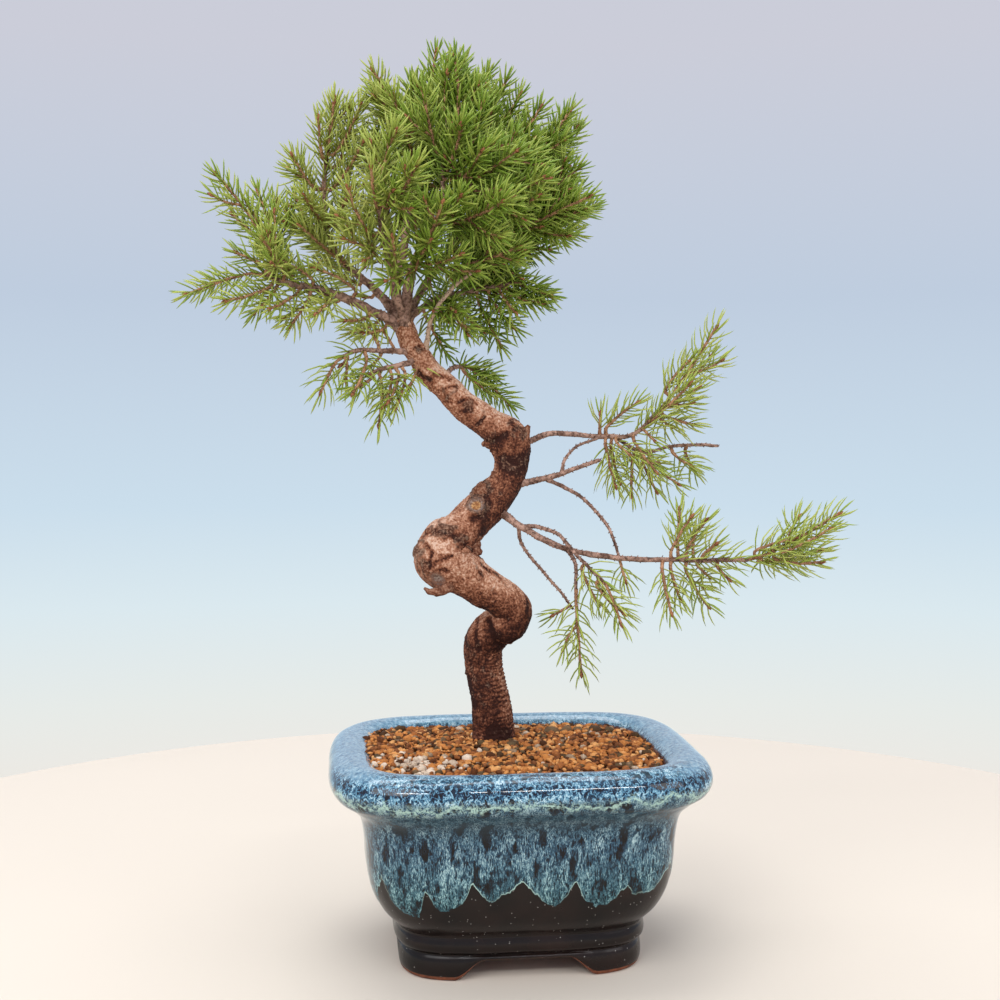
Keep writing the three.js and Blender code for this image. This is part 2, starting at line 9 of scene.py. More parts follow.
import bpy
import numpy as np
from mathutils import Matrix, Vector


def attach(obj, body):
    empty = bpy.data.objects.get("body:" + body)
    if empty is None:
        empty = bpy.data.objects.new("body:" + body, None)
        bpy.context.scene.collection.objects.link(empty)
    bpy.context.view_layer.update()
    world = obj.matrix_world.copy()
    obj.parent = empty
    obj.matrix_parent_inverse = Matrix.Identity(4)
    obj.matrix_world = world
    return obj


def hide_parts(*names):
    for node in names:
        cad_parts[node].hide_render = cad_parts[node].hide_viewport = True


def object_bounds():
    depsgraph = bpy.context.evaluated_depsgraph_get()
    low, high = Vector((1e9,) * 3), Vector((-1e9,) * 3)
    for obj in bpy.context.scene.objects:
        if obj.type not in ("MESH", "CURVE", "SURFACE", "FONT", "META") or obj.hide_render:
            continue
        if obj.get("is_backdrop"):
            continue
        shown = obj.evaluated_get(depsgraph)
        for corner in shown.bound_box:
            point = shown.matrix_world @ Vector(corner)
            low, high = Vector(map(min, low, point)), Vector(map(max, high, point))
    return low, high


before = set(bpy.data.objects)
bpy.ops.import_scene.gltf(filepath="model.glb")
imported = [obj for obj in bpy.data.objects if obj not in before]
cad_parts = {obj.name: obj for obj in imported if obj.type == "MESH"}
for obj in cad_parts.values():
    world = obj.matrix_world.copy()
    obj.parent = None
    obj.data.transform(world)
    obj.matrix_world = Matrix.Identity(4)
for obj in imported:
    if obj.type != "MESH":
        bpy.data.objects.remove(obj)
CAD_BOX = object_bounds()
print("solids:", len(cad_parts), "size in mm:", [round(1000 * s) for s in CAD_BOX[1] - CAD_BOX[0]])

# %% [markdown]
# ## Camera, floor and light
#
# A plant portrait is taken from close by with a normal lens, a little above the rim of the pot, so
# that its rim shows as a flat oval and its branches keep their depth. The camera stands 58 cm from
# the trunk and looks 3 degrees down. The floor is a plain pale sheet, and the light is that of a
# bright studio: one large soft lamp at the front left, a weaker one at the right, one overhead, and a
# pale sky. Two narrow lamps give the glaze its glints.

# %% The camera
LENS = 50
CAMERA_DISTANCE, CAMERA_HEIGHT, CAMERA_ASIDE = 0.579, 0.2175, -0.006
LOOK_DOWN, LOOK_LEFT = np.radians(2.97), np.radians(-6.5)

ahead = np.array([-np.sin(LOOK_LEFT), np.cos(LOOK_LEFT), 0])
aside = np.array([np.cos(LOOK_LEFT), np.sin(LOOK_LEFT), 0])
camera_data = bpy.data.cameras.new("camera")
camera_data.lens = LENS
camera = bpy.data.objects.new("camera", camera_data)
camera.location = -ahead * CAMERA_DISTANCE + aside * CAMERA_ASIDE + [0, 0, CAMERA_HEIGHT]
camera.rotation_euler = (np.pi / 2 - LOOK_DOWN, 0, LOOK_LEFT)
bpy.context.collection.objects.link(camera)
bpy.context.scene.camera = camera
print("camera at", [round(c, 3) for c in camera.location])


# %% Colours and shader nodes
def srgb(red, green, blue):
    """A colour named by its screen values from 0 to 255, as the light that a shader works with."""
    share = np.array([red, green, blue]) / 255
    light = np.where(share < 0.04045, share / 12.92, ((share + 0.055) / 1.055) ** 2.4)
    return (*light, 1)


def add(tree, kind, inputs=None, **settings):
    """A shader node. Each input takes a plain value, or the output of a node before it."""
    node = tree.nodes.new("ShaderNode" + kind)
    for name, value in settings.items():
        setattr(node, name, value)
    for name, value in (inputs or {}).items():
        if isinstance(value, bpy.types.NodeSocket):
            tree.links.new(value, node.inputs[name])
        else:
            node.inputs[name].default_value = value
    return node


def calc(tree, operation, first, second=0.0):
    """One sum on two values."""
    return add(tree, "Math", {0: first, 1: second}, operation=operation).outputs[0]


def fade(tree, value, low, high):
    """0 below low, 1 above high, and an even rise between them."""
    return add(tree, "MapRange", {"Value": value, "From Min": low, "From Max": high}).outputs[0]


def blend(tree, share, under, over):
    """The colour under, covered by the colour over where share is 1."""
    node = add(tree, "Mix", {0: share, 6: under, 7: over}, data_type="RGBA")
    return node.outputs[2]


def ramp(tree, value, *stops):
    """A run of colours along a value: each stop is a place from 0 to 1 and a colour."""
    node = add(tree, "ValToRGB", {"Fac": value})
    for extra in range(len(stops) - 2):
        node.color_ramp.elements.new(0.5)
    for element, (place, colour) in zip(node.color_ramp.elements, stops):
        element.position = place
        element.color = colour
    return node.outputs["Color"]


def read_mark(tree, name):
    """A value that the mesh carries at each of its points."""
    return add(tree, "Attribute", attribute_name=name).outputs["Fac"]


def new_material(name, **sockets):
    """A material with its node tree and its shader, whose plain sockets are set by name."""
    material = bpy.data.materials.new(name)
    material.use_nodes = True
    shader = material.node_tree.nodes["Principled BSDF"]
    for socket, value in sockets.items():
        shader.inputs[socket.replace("_", " ")].default_value = value
    return material, material.node_tree, shader


# %% The floor and the sky
FLOOR_RADIUS = 0.42
turns = np.linspace(0, 2 * np.pi, 96, endpoint=False)
floor_mesh = bpy.data.meshes.new("floor")
floor_mesh.from_pydata(
    [(FLOOR_RADIUS * np.cos(t), FLOOR_RADIUS * np.sin(t), 0) for t in turns], [], [list(range(96))])
floor = bpy.data.objects.new("floor", floor_mesh)
bpy.context.collection.objects.link(floor)
material, tree, shader = new_material("pale_floor", Base_Color=srgb(224, 214, 199), Roughness=0.9)
floor_mesh.materials.append(material)
floor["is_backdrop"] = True

world = bpy.data.worlds.new("sky")
world.use_nodes = True
bpy.context.scene.world = world
tree = world.node_tree
upward = add(tree, "SeparateXYZ", {0: add(tree, "TexCoord").outputs["Generated"]}).outputs["Z"]
sky = ramp(
    tree, fade(tree, upward, -0.3, 0.4),
    (0.0, srgb(238, 231, 222)), (0.075, srgb(237, 232, 224)), (0.11, srgb(235, 234, 229)),
    (0.155, srgb(231, 235, 232)), (0.25, srgb(219, 233, 239)), (0.35, srgb(203, 222, 236)),
    (0.56, srgb(191, 205, 223)), (0.8, srgb(203, 205, 217)))
tree.links.new(sky, tree.nodes["Background"].inputs["Color"])
tree.nodes["Background"].inputs["Strength"].default_value = 1.0
bpy.context.scene.view_settings.view_transform = "Standard"
print("floor radius in m:", FLOOR_RADIUS)


# %% The lamps
def soft_lamp(name, place, size, watts, high=None):
    """A lamp that faces the middle of the tree: a square, or an oblong where its height is given."""
    data = bpy.data.lights.new(name, "AREA")
    data.shape = "RECTANGLE"
    data.size = size
    data.size_y = high or size
    data.energy = watts
    lamp = bpy.data.objects.new(name, data)
    lamp.location = place
    to_tree = np.array([0, 0, 0.18]) - place
    turn = np.arctan2(to_tree[1], to_tree[0])
    tilt = np.arctan2(np.hypot(to_tree[0], to_tree[1]), -to_tree[2])
    lamp.rotation_euler = (tilt, 0, turn - np.pi / 2)
    bpy.context.collection.objects.link(lamp)


soft_lamp("front_left", np.array([-0.8, -0.9, 1.2]), 1.1, 10)
soft_lamp("front_right", np.array([1.0, -0.8, 0.8]), 0.7, 2.8)
soft_lamp("overhead", np.array([-0.1, 0.3, 1.5]), 1.0, 11)
soft_lamp("glint_left", np.array([-0.45, -1.1, 0.9]), 0.4, 2.2, 0.05)
soft_lamp("glint_right", np.array([0.35, -1.1, 0.9]), 0.5, 2.4, 0.05)

# %% [markdown]
# ## Surfaces from arrays
#
# Every piece here is a surface worked out with numpy: a function of two parameters on a grid, or a
# profile carried along a path. Sculpting by hand would be freer, but a formula can be read, and its
# numbers are the real sizes in millimetres. These helpers hold what all the pieces share: smooth
# curves through a few points, repeatable draws, noise, and the step from arrays to a mesh.

# %% Curves, draws and noise
MM = 0.001
GOLDEN_TURN = np.pi * (3 - np.sqrt(5))


def smooth_curve(points, per_span):
    """Points along a curve that passes every given point: a cubic on each span, whose slopes at its
    ends weigh the neighbouring spans by the square roots of their lengths. Each end is lengthened by
    its own last span."""
    points = np.asarray(points, float)
    ends = np.vstack([2 * points[0] - points[1], points, 2 * points[-1] - points[-2]])
    before, start, end, after = ends[:-3], ends[1:-2], ends[2:-1], ends[3:]
    knots = np.linalg.norm(np.diff(ends[:, :3], axis=0), axis=1)[:, None] ** 0.5
    d0, d1, d2 = knots[:-2], knots[1:-1], knots[2:]
    lean_in = d1 * ((start - before) / d0 - (end - before) / (d0 + d1) + (end - start) / d1)
    lean_out = d1 * ((end - start) / d1 - (after - start) / (d1 + d2) + (after - end) / d2)
    t = (np.arange(per_span) / per_span)[None, :, None]
    rise = 3 * (end - start) - 2 * lean_in - lean_out
    bend = 2 * (start - end) + lean_in + lean_out
    curve = start[:, None] + lean_in[:, None] * t + rise[:, None] * t**2 + bend[:, None] * t**3
    return np.vstack([curve.reshape(-1, points.shape[1]), points[-1]])


def draw(k):
    """A repeatable draw between 0 and 1 for each number k: the fraction left of a steep sine."""
    wave = np.sin(np.asarray(k, float) * 12.9898) * 43758.5453
    return wave - np.floor(wave)


def smoothstep(value, low, high):
    """0 below low, 1 above high, and 3 t squared less 2 t cubed between them."""
    t = np.clip((value - low) / (high - low), 0, 1)
    return t * t * (3 - 2 * t)


def noise(points, cell, seed=0):
    """Smooth noise from -1 to 1. Each corner of a lattice with this cell has a drawn height, and a
    point takes the mean of its eight corners, weighed by smooth steps of its place in the cell."""
    place = np.asarray(points, float) / cell
    low = np.floor(place)
    share = place - low
    share = share * share * (3 - 2 * share)
    total = 0
    for corner in np.ndindex(2, 2, 2):
        height = draw((low + corner) @ [1.0, 57.31, 113.97] + 7.13 * seed)
        weight = np.where(corner, share, 1 - share).prod(axis=-1)
        total = total + weight * height
    return 2 * total - 1


def unit(vectors):
    """The same directions, each of length 1."""
    return vectors / np.linalg.norm(vectors, axis=-1, keepdims=True)


def frames(path, side=None):
    """Directions along, across and square to both at each point of a path. Each across is the one
    before it, made square to the path again, so that a tube along it doesn't twist."""
    along = unit(np.gradient(path, axis=0))
    side = np.eye(3)[np.abs(along[0]).argmin()] if side is None else np.array(side, float)
    across = np.empty_like(path)
    for i, direction in enumerate(along):
        side = side - direction * (side @ direction)
        side = side / np.linalg.norm(side)
        across[i] = side
    return along, across, np.cross(along, across)


# %% From arrays to pieces
def grid_faces(rows, columns):
    """The four corners of each face of a grid of points, closed on itself across its columns."""
    row, column = np.meshgrid(np.arange(rows - 1), np.arange(columns), indexing="ij")
    here, there = row * columns + column, row * columns + (column + 1) % columns
    return np.stack([here, there, there + columns, here + columns], -1).reshape(-1, 4)


def closed_skin(rings, finish=0, **marks):
    """A shape from a stack of rings, with a fan of triangles to a middle point over each end."""
    rows, columns = rings.shape[:2]
    hub, last = rows * columns, (rows - 1) * columns
    ring = np.arange(columns)
    following = (ring + 1) % columns
    fans = np.vstack([
        np.stack([np.full(columns, hub), following, ring], 1),
        np.stack([np.full(columns, hub + 1), last + ring, last + following], 1)])
    flat = {name: np.broadcast_to(mark, (rows, columns)) for name, mark in marks.items()}
    return {
        "points": np.vstack([rings.reshape(-1, 3), rings[0].mean(0), rings[-1].mean(0)]),
        "faces": [(grid_faces(rows, columns), finish), (fans, finish)],
        "marks": {name: np.r_[m.ravel(), m[0].mean(), m[-1].mean()] for name, m in flat.items()},
    }


def tube(path, radius, sides, finish=0, **marks):
    """A closed tube: each point is the path's, plus the radius times cos a across and sin a square
    to it. There is one radius for each ring, or one for each point of each ring."""
    _, across, other = frames(path)
    angle = 2 * np.pi * np.arange(sides) / sides
    reach = np.broadcast_to(np.asarray(radius).reshape(len(path), -1), (len(path), sides))
    out = across[:, None] * np.cos(angle)[:, None] + other[:, None] * np.sin(angle)[:, None]
    return closed_skin(path[:, None] + out * reach[..., None], finish, **marks)


def join(shapes):
    """One shape from several, with each one's face numbers moved past the points before it."""
    firsts = np.cumsum([0] + [len(shape["points"]) for shape in shapes])
    names = shapes[0]["marks"]
    return {
        "points": np.vstack([shape["points"] for shape in shapes]),
        "faces": [(corners + first, finish) for shape, first in zip(shapes, firsts)
                  for corners, finish in shape["faces"]],
        "marks": {name: np.concatenate([shape["marks"][name] for shape in shapes]) for name in names},
    }


def make_mesh(name, shape, materials):
    """A mesh in metres from a shape in millimetres."""
    mesh = bpy.data.meshes.new(name)
    faces = [(corners, finish) for corners, finish in shape["faces"] if len(corners)]
    corners = np.concatenate([c.ravel() for c, _ in faces])
    sizes = np.concatenate([np.full(len(c), c.shape[1]) for c, _ in faces])
    finishes = np.concatenate([np.full(len(c), finish) for c, finish in faces])
    mesh.vertices.add(len(shape["points"]))
    mesh.vertices.foreach_set("co", (shape["points"] * MM).astype(np.float32).ravel())
    mesh.loops.add(len(corners))
    mesh.loops.foreach_set("vertex_index", corners.astype(np.int32))
    mesh.polygons.add(len(sizes))
    mesh.polygons.foreach_set("loop_start", np.r_[0, np.cumsum(sizes)[:-1]].astype(np.int32))
    mesh.update(calc_edges=True)
    for material in materials:
        mesh.materials.append(material)
    mesh.polygons.foreach_set("material_index", finishes.astype(np.int32))
    mesh.shade_smooth()
    for mark, values in shape["marks"].items():
        attribute = mesh.attributes.new(mark, "FLOAT", "POINT")
        attribute.data.foreach_set("value", values.astype(np.float32))
    return mesh


def make_piece(name, shape, materials, slot, *nodes):
    """An object that rides on the root body and stands for these solids."""
    piece = bpy.data.objects.new(name, make_mesh(name, shape, materials))
    bpy.context.collection.objects.link(piece)
    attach(piece, "root")
    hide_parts(*nodes)
    return piece


def triangles(piece):
    """The number of triangles that a piece's faces come to."""
    return sum(len(polygon.vertices) - 2 for polygon in piece.data.polygons)


print("golden turn in degrees:", round(float(np.degrees(GOLDEN_TURN)), 1))

# %% [markdown]
# ## Patches and specks, for every finish
#
# Glaze, bark, soil and fired clay are all blotchy, each at its own scale, and most have small specks.
# Two node groups make these once. Patches is noise cut between two levels, and it can be squeezed
# along an axis to make streaks. Specks marks small round dots, scattered by a cell pattern.


# %% Node groups
def new_group(name, inputs, outputs):
    """A node group with named sockets, and its input and output nodes."""
    group = bpy.data.node_groups.new(name, "ShaderNodeTree")
    for label, kind, value in inputs:
        socket = group.interface.new_socket(label, in_out="INPUT", socket_type="NodeSocket" + kind)
        socket.default_value = value
    for label in outputs:
        group.interface.new_socket(label, in_out="OUTPUT", socket_type="NodeSocketFloat")
    return group, group.nodes.new("NodeGroupInput"), group.nodes.new("NodeGroupOutput")


def make_patches():
    """Noise on the object's own coordinates, raised evenly from 0 at Low to 1 at High."""
    group, given, out = new_group("patches", [
        ("Stretch", "Vector", (1, 1, 1)), ("Scale", "Float", 100.0), ("Detail", "Float", 4.0),
        ("Low", "Float", 0.4), ("High", "Float", 0.6)], ["Mask", "Height"])
    place = add(group, "TexCoord").outputs["Object"]
    place = add(group, "VectorMath", {0: place, 1: given.outputs["Stretch"]}, operation="MULTIPLY")
    field = add(group, "TexNoise", {
        "Vector": place.outputs[0], "Scale": given.outputs["Scale"],
        "Detail": given.outputs["Detail"]}).outputs[0]
    group.links.new(fade(group, field, given.outputs["Low"], given.outputs["High"]), out.inputs["Mask"])
    group.links.new(field, out.inputs["Height"])
    return group


def make_specks():
    """Round dots of radius Size, in cell widths, in those cells whose draw is under Share."""
    group, given, out = new_group("specks", [
        ("Scale", "Float", 300.0), ("Size", "Float", 0.2), ("Share", "Float", 0.3)], ["Mask"])
    place = add(group, "TexCoord").outputs["Object"]
    cells = add(group, "TexVoronoi", {"Vector": place, "Scale": given.outputs["Scale"]})
    tone = add(group, "SeparateColor", {0: cells.outputs["Color"]}).outputs[0]
    dot = calc(group, "LESS_THAN", cells.outputs["Distance"], given.outputs["Size"])
    chosen = calc(group, "LESS_THAN", tone, given.outputs["Share"])
    group.links.new(calc(group, "MULTIPLY", dot, chosen), out.inputs["Mask"])
    return group


PATCHES, SPECKS = make_patches(), make_specks()


def use(tree, group, output="Mask", **inputs):
    """Places a node group with its own values, and gives one of its outputs."""
    return add(tree, "Group", inputs, node_tree=group).outputs[output]


def bump(tree, shader, height, depth):
    """Feeds a height, times a depth in millimetres, to the shader's normal."""
    node = add(tree, "Bump", {"Height": height, "Distance": depth * MM, "Strength": 1.0})
    tree.links.new(node.outputs["Normal"], shader.inputs["Normal"])


print("groups:", [group.name for group in bpy.data.node_groups])

# %% [markdown]
# ## The pot
#
# The pot was pressed or cast in clay, dipped in a black-brown glaze, and then in a blue one from the
# rim down. In the fire the blue ran in drips and broke over the edges. Its form is one profile
# carried round a soft rectangle. A lathe would make it round, and a rounded box would lose the
# profile's curves, so each point of the profile gives a half width, and the plan is scaled to it.

# %% The pot's form
DEPTH_SHARE, SQUARENESS = 0.83, 4.2
FLOOR_TOP, GROOVE, UNDERSIDE = 14, 10.2, 9
FOOT_INSIDE = 43
PROFILE = [
    (20, 9), (42.4, 9), (43, 0.2), (43.6, 0), (48.6, 0), (49.6, 0.6), (50.3, 2.4), (50.4, 5.5), (49.9, 8.6),
    (49.2, GROOVE), (50.2, 11), (51.3, 12.2), (51.7, 14.2), (51.3, 16.4), (50.9, 17.8), (51.8, 19.2),
    (53.6, 21), (57, 25), (60.8, 33), (62.6, 43), (63.4, 54), (65.6, 63.5), (70.6, 68.8),
    (75.2, 72.4), (77.4, 77.2), (75.6, 82.2), (69.8, 85.4), (63.6, 84.8), (60, 82), (58.6, 78.5),
    (57.6, 60), (54.6, 36), (48.5, 20), (43.5, FLOOR_TOP), (22, FLOOR_TOP),
]
ARCH_HEIGHT = 8.3
ARCH_FRONT, ARCH_SIDE = (16.5, 29), (15, 23)
POT_COLUMNS, POT_PER_SPAN = 440, 5


def plan(turn):
    """A soft rectangle of half width 1: the point in the direction turn lies where the nth powers of
    its two coordinates add up to 1."""
    c, s = np.cos(turn), np.sin(turn)
    radius = (np.abs(c) ** SQUARENESS + np.abs(s) ** SQUARENESS) ** (-1 / SQUARENESS)
    return radius * c, radius * s


def arch(points):
    """How far the foot's lower edge is lifted: flat in the middle of a side, and falling by a smooth
    step to the feet."""
    x, y = np.abs(points[..., 0]), np.abs(points[..., 1])
    front = y / DEPTH_SHARE > x
    return ARCH_HEIGHT * np.where(front, 1 - smoothstep(x, *ARCH_FRONT), 1 - smoothstep(y, *ARCH_SIDE))


def pot_rings(profile, turn):
    """The profile's half width a and height z, carried round the plan: x is a times the plan's x, y
    is 0.83 a times its y, and the foot's height is squeezed up to clear the arches."""
    across, deep = plan(turn)
    half, z = profile[:, :1], profile[:, 1:]
    points = np.stack(np.broadcast_arrays(half * across, DEPTH_SHARE * half * deep, z), -1)
    foot = (profile[:, 1] < GROOVE) & (profile[:, 0] > FOOT_INSIDE - 0.6)
    ceiling = np.where(profile[:, 0] < FOOT_INSIDE + 0.3, UNDERSIDE, GROOVE)[foot, None]
    lift = arch(points[foot])
    points[foot, :, 2] = lift + np.maximum(points[foot, :, 2], 0) * (ceiling - lift) / ceiling
    return points


pot_turns = np.linspace(0, 2 * np.pi, POT_COLUMNS, endpoint=False)
pot_profile = smooth_curve(PROFILE, POT_PER_SPAN)
pot_points = pot_rings(pot_profile, pot_turns)
print("pot grid:", pot_points.shape[:2])

# %% [markdown]
# The blue glaze ends in drips: rounded tongues that hang down, with sharp dark peaks between them.
# The front's drips are listed, as millimetres along the wall from its middle and heights.
# Round the other sides they go on as drawn tongues and peaks of the same sizes.

# %% Where the glaze ran to
FRONT_DRIPS = [
    (-62, 38.5), (-58.5, 43.3), (-51, 30), (-45.5, 28.3), (-39.6, 39.6), (-34.6, 31.5), (-29.4, 32.4),
    (-22.1, 43), (-14.3, 34.9), (-11.1, 37.6), (-3, 42.9), (3.3, 37.1), (8.6, 31.8), (17.3, 42.3),
    (23.5, 33.3), (27.9, 31.2), (36, 37.4), (38.4, 40.1), (40.2, 34.9), (47.4, 35), (55.5, 40.9), (61, 44.3),
]
FRONT_HALF = 62
DRIP_STEP, DRIP_LOW, DRIP_HIGH = 7.5, 31, 42
WALL_HALF = 60.8


def wall_length(turn):
    """Millimetres along the wall from the middle of the front, rising to the right: the sum of the
    plan's short steps from the front, at the wall's half width."""
    around = np.linspace(-np.pi / 2, 1.5 * np.pi, 4001)
    x, y = plan(around)
    steps = np.hypot(np.diff(x * WALL_HALF), np.diff(y * WALL_HALF * DEPTH_SHARE))
    length = np.r_[0, np.cumsum(steps)]
    place = np.interp(np.mod(turn + np.pi / 2, 2 * np.pi) - np.pi / 2, around, length)
    return np.where(place > length[-1] / 2, place - length[-1], place), length[-1]


def drip_points(total):
    """The front's list, and tongues and peaks in turn over the rest of the way round."""
    other_sides = total - 2 * FRONT_HALF
    count = int(other_sides / DRIP_STEP) // 2 * 2
    i = np.arange(1, count)
    place = FRONT_HALF + other_sides * (i + 0.6 * (draw(i) - 0.5)) / count
    height = np.where(i % 2, DRIP_LOW, DRIP_HIGH) + 6 * (draw(i + 40) - 0.5)
    rest = np.stack([place, height], 1)
    return np.vstack([rest - [total, 0], FRONT_DRIPS, rest])


def drip_edge(place, total):
    """The glaze's lowest height at a place on the wall. From a peak to a tongue it falls as a
    quarter of a sine, so that peaks are sharp and tongues are round."""
    drips = drip_points(total)
    i = np.clip(np.searchsorted(drips[:, 0], place) - 1, 0, len(drips) - 2)
    (x0, z0), (x1, z1) = drips[i].T, drips[i + 1].T
    t = (place - x0) / (x1 - x0)
    falling = z0 + (z1 - z0) * np.sin(t * np.pi / 2)
    rising = z1 + (z0 - z1) * np.sin((1 - t) * np.pi / 2)
    return np.where(z1 < z0, falling, rising)


# Places in the profile, counted in spans between its listed points
UNDER_FLOOR, SOLE, OUTSIDE = 1.1, (1.3, 5.8), (9, 28.5)
INSIDE_BARE, ROLL_END = (27.9, 28.4), 28.6
ROLL_HEIGHTS = 75.5, 77.5

wall_place, wall_total = wall_length(pot_turns)
edge = drip_edge(wall_place, wall_total)
over_edge = pot_points[..., 2] - edge - 0.5 * noise(pot_points, 1.4, 3) - 0.4 * noise(pot_points, 4, 4)
span = np.arange(len(pot_profile))[:, None] / POT_PER_SPAN
roll = smoothstep(pot_profile[:, 1:], *ROLL_HEIGHTS) * (span <= ROLL_END)
sole_bare = ((span > SOLE[0]) & (span < SOLE[1])) | (span < UNDER_FLOOR)
bare = np.clip(smoothstep(span, *INSIDE_BARE) + sole_bare + 0 * over_edge, 0, 1)
print("wall all round in mm:", round(float(wall_total)))

# %% The pot's skin and drain holes
GLAZE_DEPTH = 0.3
DRAIN_X, DRAIN_RADIUS = 20, 5.5

along_profile = np.gradient(pot_points, axis=0)
round_plan = np.roll(pot_points, -1, 1) - np.roll(pot_points, 1, 1)
outward = unit(np.cross(round_plan, along_profile))
thick = GLAZE_DEPTH * smoothstep(over_edge, 0, 1.2) * (1 - bare) + 0.12 * noise(pot_points, 9, 5)
outer = (span > OUTSIDE[0]) & (span < OUTSIDE[1])
pot_points = pot_points + outward * (thick * outer)[..., None]
pot_shape = closed_skin(
    pot_points, over_drip=over_edge, rim_roll=roll + 0 * over_edge, bare_clay=bare)


def drain_cutter(side):
    """A plain upright cylinder through the pot's floor."""
    heights = np.linspace(0, 2 * FLOOR_TOP, 2)
    path = np.stack([np.full(2, side * DRAIN_X), np.zeros(2), heights], 1)
    shape = tube(path, [DRAIN_RADIUS] * 2, 48)
    cutter = bpy.data.objects.new("cutter", make_mesh("cutter", shape, []))
    bpy.context.collection.objects.link(cutter)
    return cutter


def cut(piece, cutters):
    """Takes the cutters' room out of a piece for good, and removes them."""
    for cutter in cutters:
        modifier = piece.modifiers.new("drain", "BOOLEAN")
        modifier.object = cutter
        modifier.solver = "MANIFOLD"
    result = piece.evaluated_get(bpy.context.evaluated_depsgraph_get())
    mesh = bpy.data.meshes.new_from_object(result)
    piece.modifiers.clear()
    piece.data = mesh
    for cutter in cutters:
        bpy.data.objects.remove(cutter)


# %% [markdown]
# Glaze is glass, so the shine comes from the shader and the colour from what lies in it. The blue
# layer is streaked downwards on the walls, because it ran. On the rim it broke into a pale net over
# navy. On top of the roll, most at the sides and the back, an even light blue is a painted reflection
# of the sky, and a painted shade darkens the wall under the rim. Pale mint lines mark where it
# gathered, under the rim and round the sharp peaks. Bare clay shows on the soles and inside.


# %% The glaze's lace
def make_lace():
    """Wormy pale lines over dark pits: 1 where noise is near its middle level, at two sizes."""
    group, given, out = new_group("lace", [
        ("Stretch", "Vector", (1, 1, 1)), ("Scale", "Float", 700.0), ("Width", "Float", 0.1)], ["Tone"])
    place = add(group, "TexCoord").outputs["Object"]
    place = add(group, "VectorMath", {0: place, 1: given.outputs["Stretch"]}, operation="MULTIPLY")
    lines = []
    for share in (1.0, 2.1):
        scale = calc(group, "MULTIPLY", given.outputs["Scale"], share)
        field = add(group, "TexNoise", {
            "Vector": place.outputs[0], "Scale": scale, "Detail": 2.5, "Distortion": 0.6}).outputs[0]
        away = calc(group, "ABSOLUTE", calc(group, "SUBTRACT", field, 0.5))
        lines.append(fade(group, away, given.outputs["Width"], 0.0))
    coarse, fine = calc(group, "MULTIPLY", lines[0], 0.55), calc(group, "MULTIPLY", lines[1], 0.45)
    group.links.new(calc(group, "ADD", coarse, fine), out.inputs["Tone"])
    return group


LACE = make_lace()


def lace_tone(tree, stretch, scale, width, cloud, cloud_scale):
    """The lace's tone, made lighter and darker in soft clouds."""
    tone = use(tree, LACE, "Tone", Stretch=stretch, Scale=scale, Width=width)
    field = use(tree, PATCHES, "Height", Stretch=stretch, Scale=cloud_scale, Detail=3.0)
    return calc(tree, "ADD", tone, calc(tree, "MULTIPLY", calc(tree, "SUBTRACT", field, 0.5), cloud))


# %% The two coats
# Heights on the pot, in metres, between which a tone comes in or goes
GREENER = 0.054, 0.034
BELT_STARTS, BELT_ENDS = (0.0785, 0.0800), (0.0828, 0.0812)
FLAT_TOP = 0.0822, 0.0842
MINT_LEVEL, PEAKS_ONLY = 0.0667, (0.033, 0.04)
NECK_STARTS, NECK_ENDS = (0.0585, 0.067), (0.0735, 0.070)
# How far out to the sides and the back the painted sky reflection on the rim's top grows, in metres
BESIDE, BEHIND = (0.053, 0.064), (-0.03, 0.01)


def under_glaze(tree):
    """The black-brown coat: near black, browner in patches, with fine pale dust."""
    warm = use(tree, PATCHES, Scale=60.0, Low=0.35, High=0.75)
    coat = blend(tree, warm, srgb(15, 10, 9), srgb(38, 24, 20))
    dust = use(tree, SPECKS, Scale=700.0, Size=0.14, Share=0.22)
    return blend(tree, calc(tree, "MULTIPLY", dust, 0.7), coat, srgb(190, 186, 178))


def streaked_blue(tree, height):
    """The coat that ran down the wall: lace drawn out into fibres, with dark blots where it is thin,
    and greener towards the drips."""
    tone = lace_tone(tree, (1, 1, 0.2), 1250.0, 0.15, 0.9, 300.0)
    blot = use(tree, PATCHES, Stretch=(1, 1, 0.5), Scale=210.0, Detail=6.0, Low=0.54, High=0.62)
    tone = calc(tree, "SUBTRACT", tone, calc(tree, "MULTIPLY", blot, 0.5))
    high = ramp(tree, tone, (0.0, srgb(18, 14, 15)), (0.24, srgb(24, 30, 38)), (0.48, srgb(38, 66, 88)),
                (0.75, srgb(80, 119, 137)), (1.0, srgb(186, 210, 210)))
    low = ramp(tree, tone, (0.0, srgb(16, 14, 15)), (0.24, srgb(22, 34, 40)), (0.48, srgb(38, 70, 80)),
               (0.75, srgb(72, 114, 123)), (1.0, srgb(166, 202, 198)))
    return blend(tree, fade(tree, height, *GREENER), high, low)


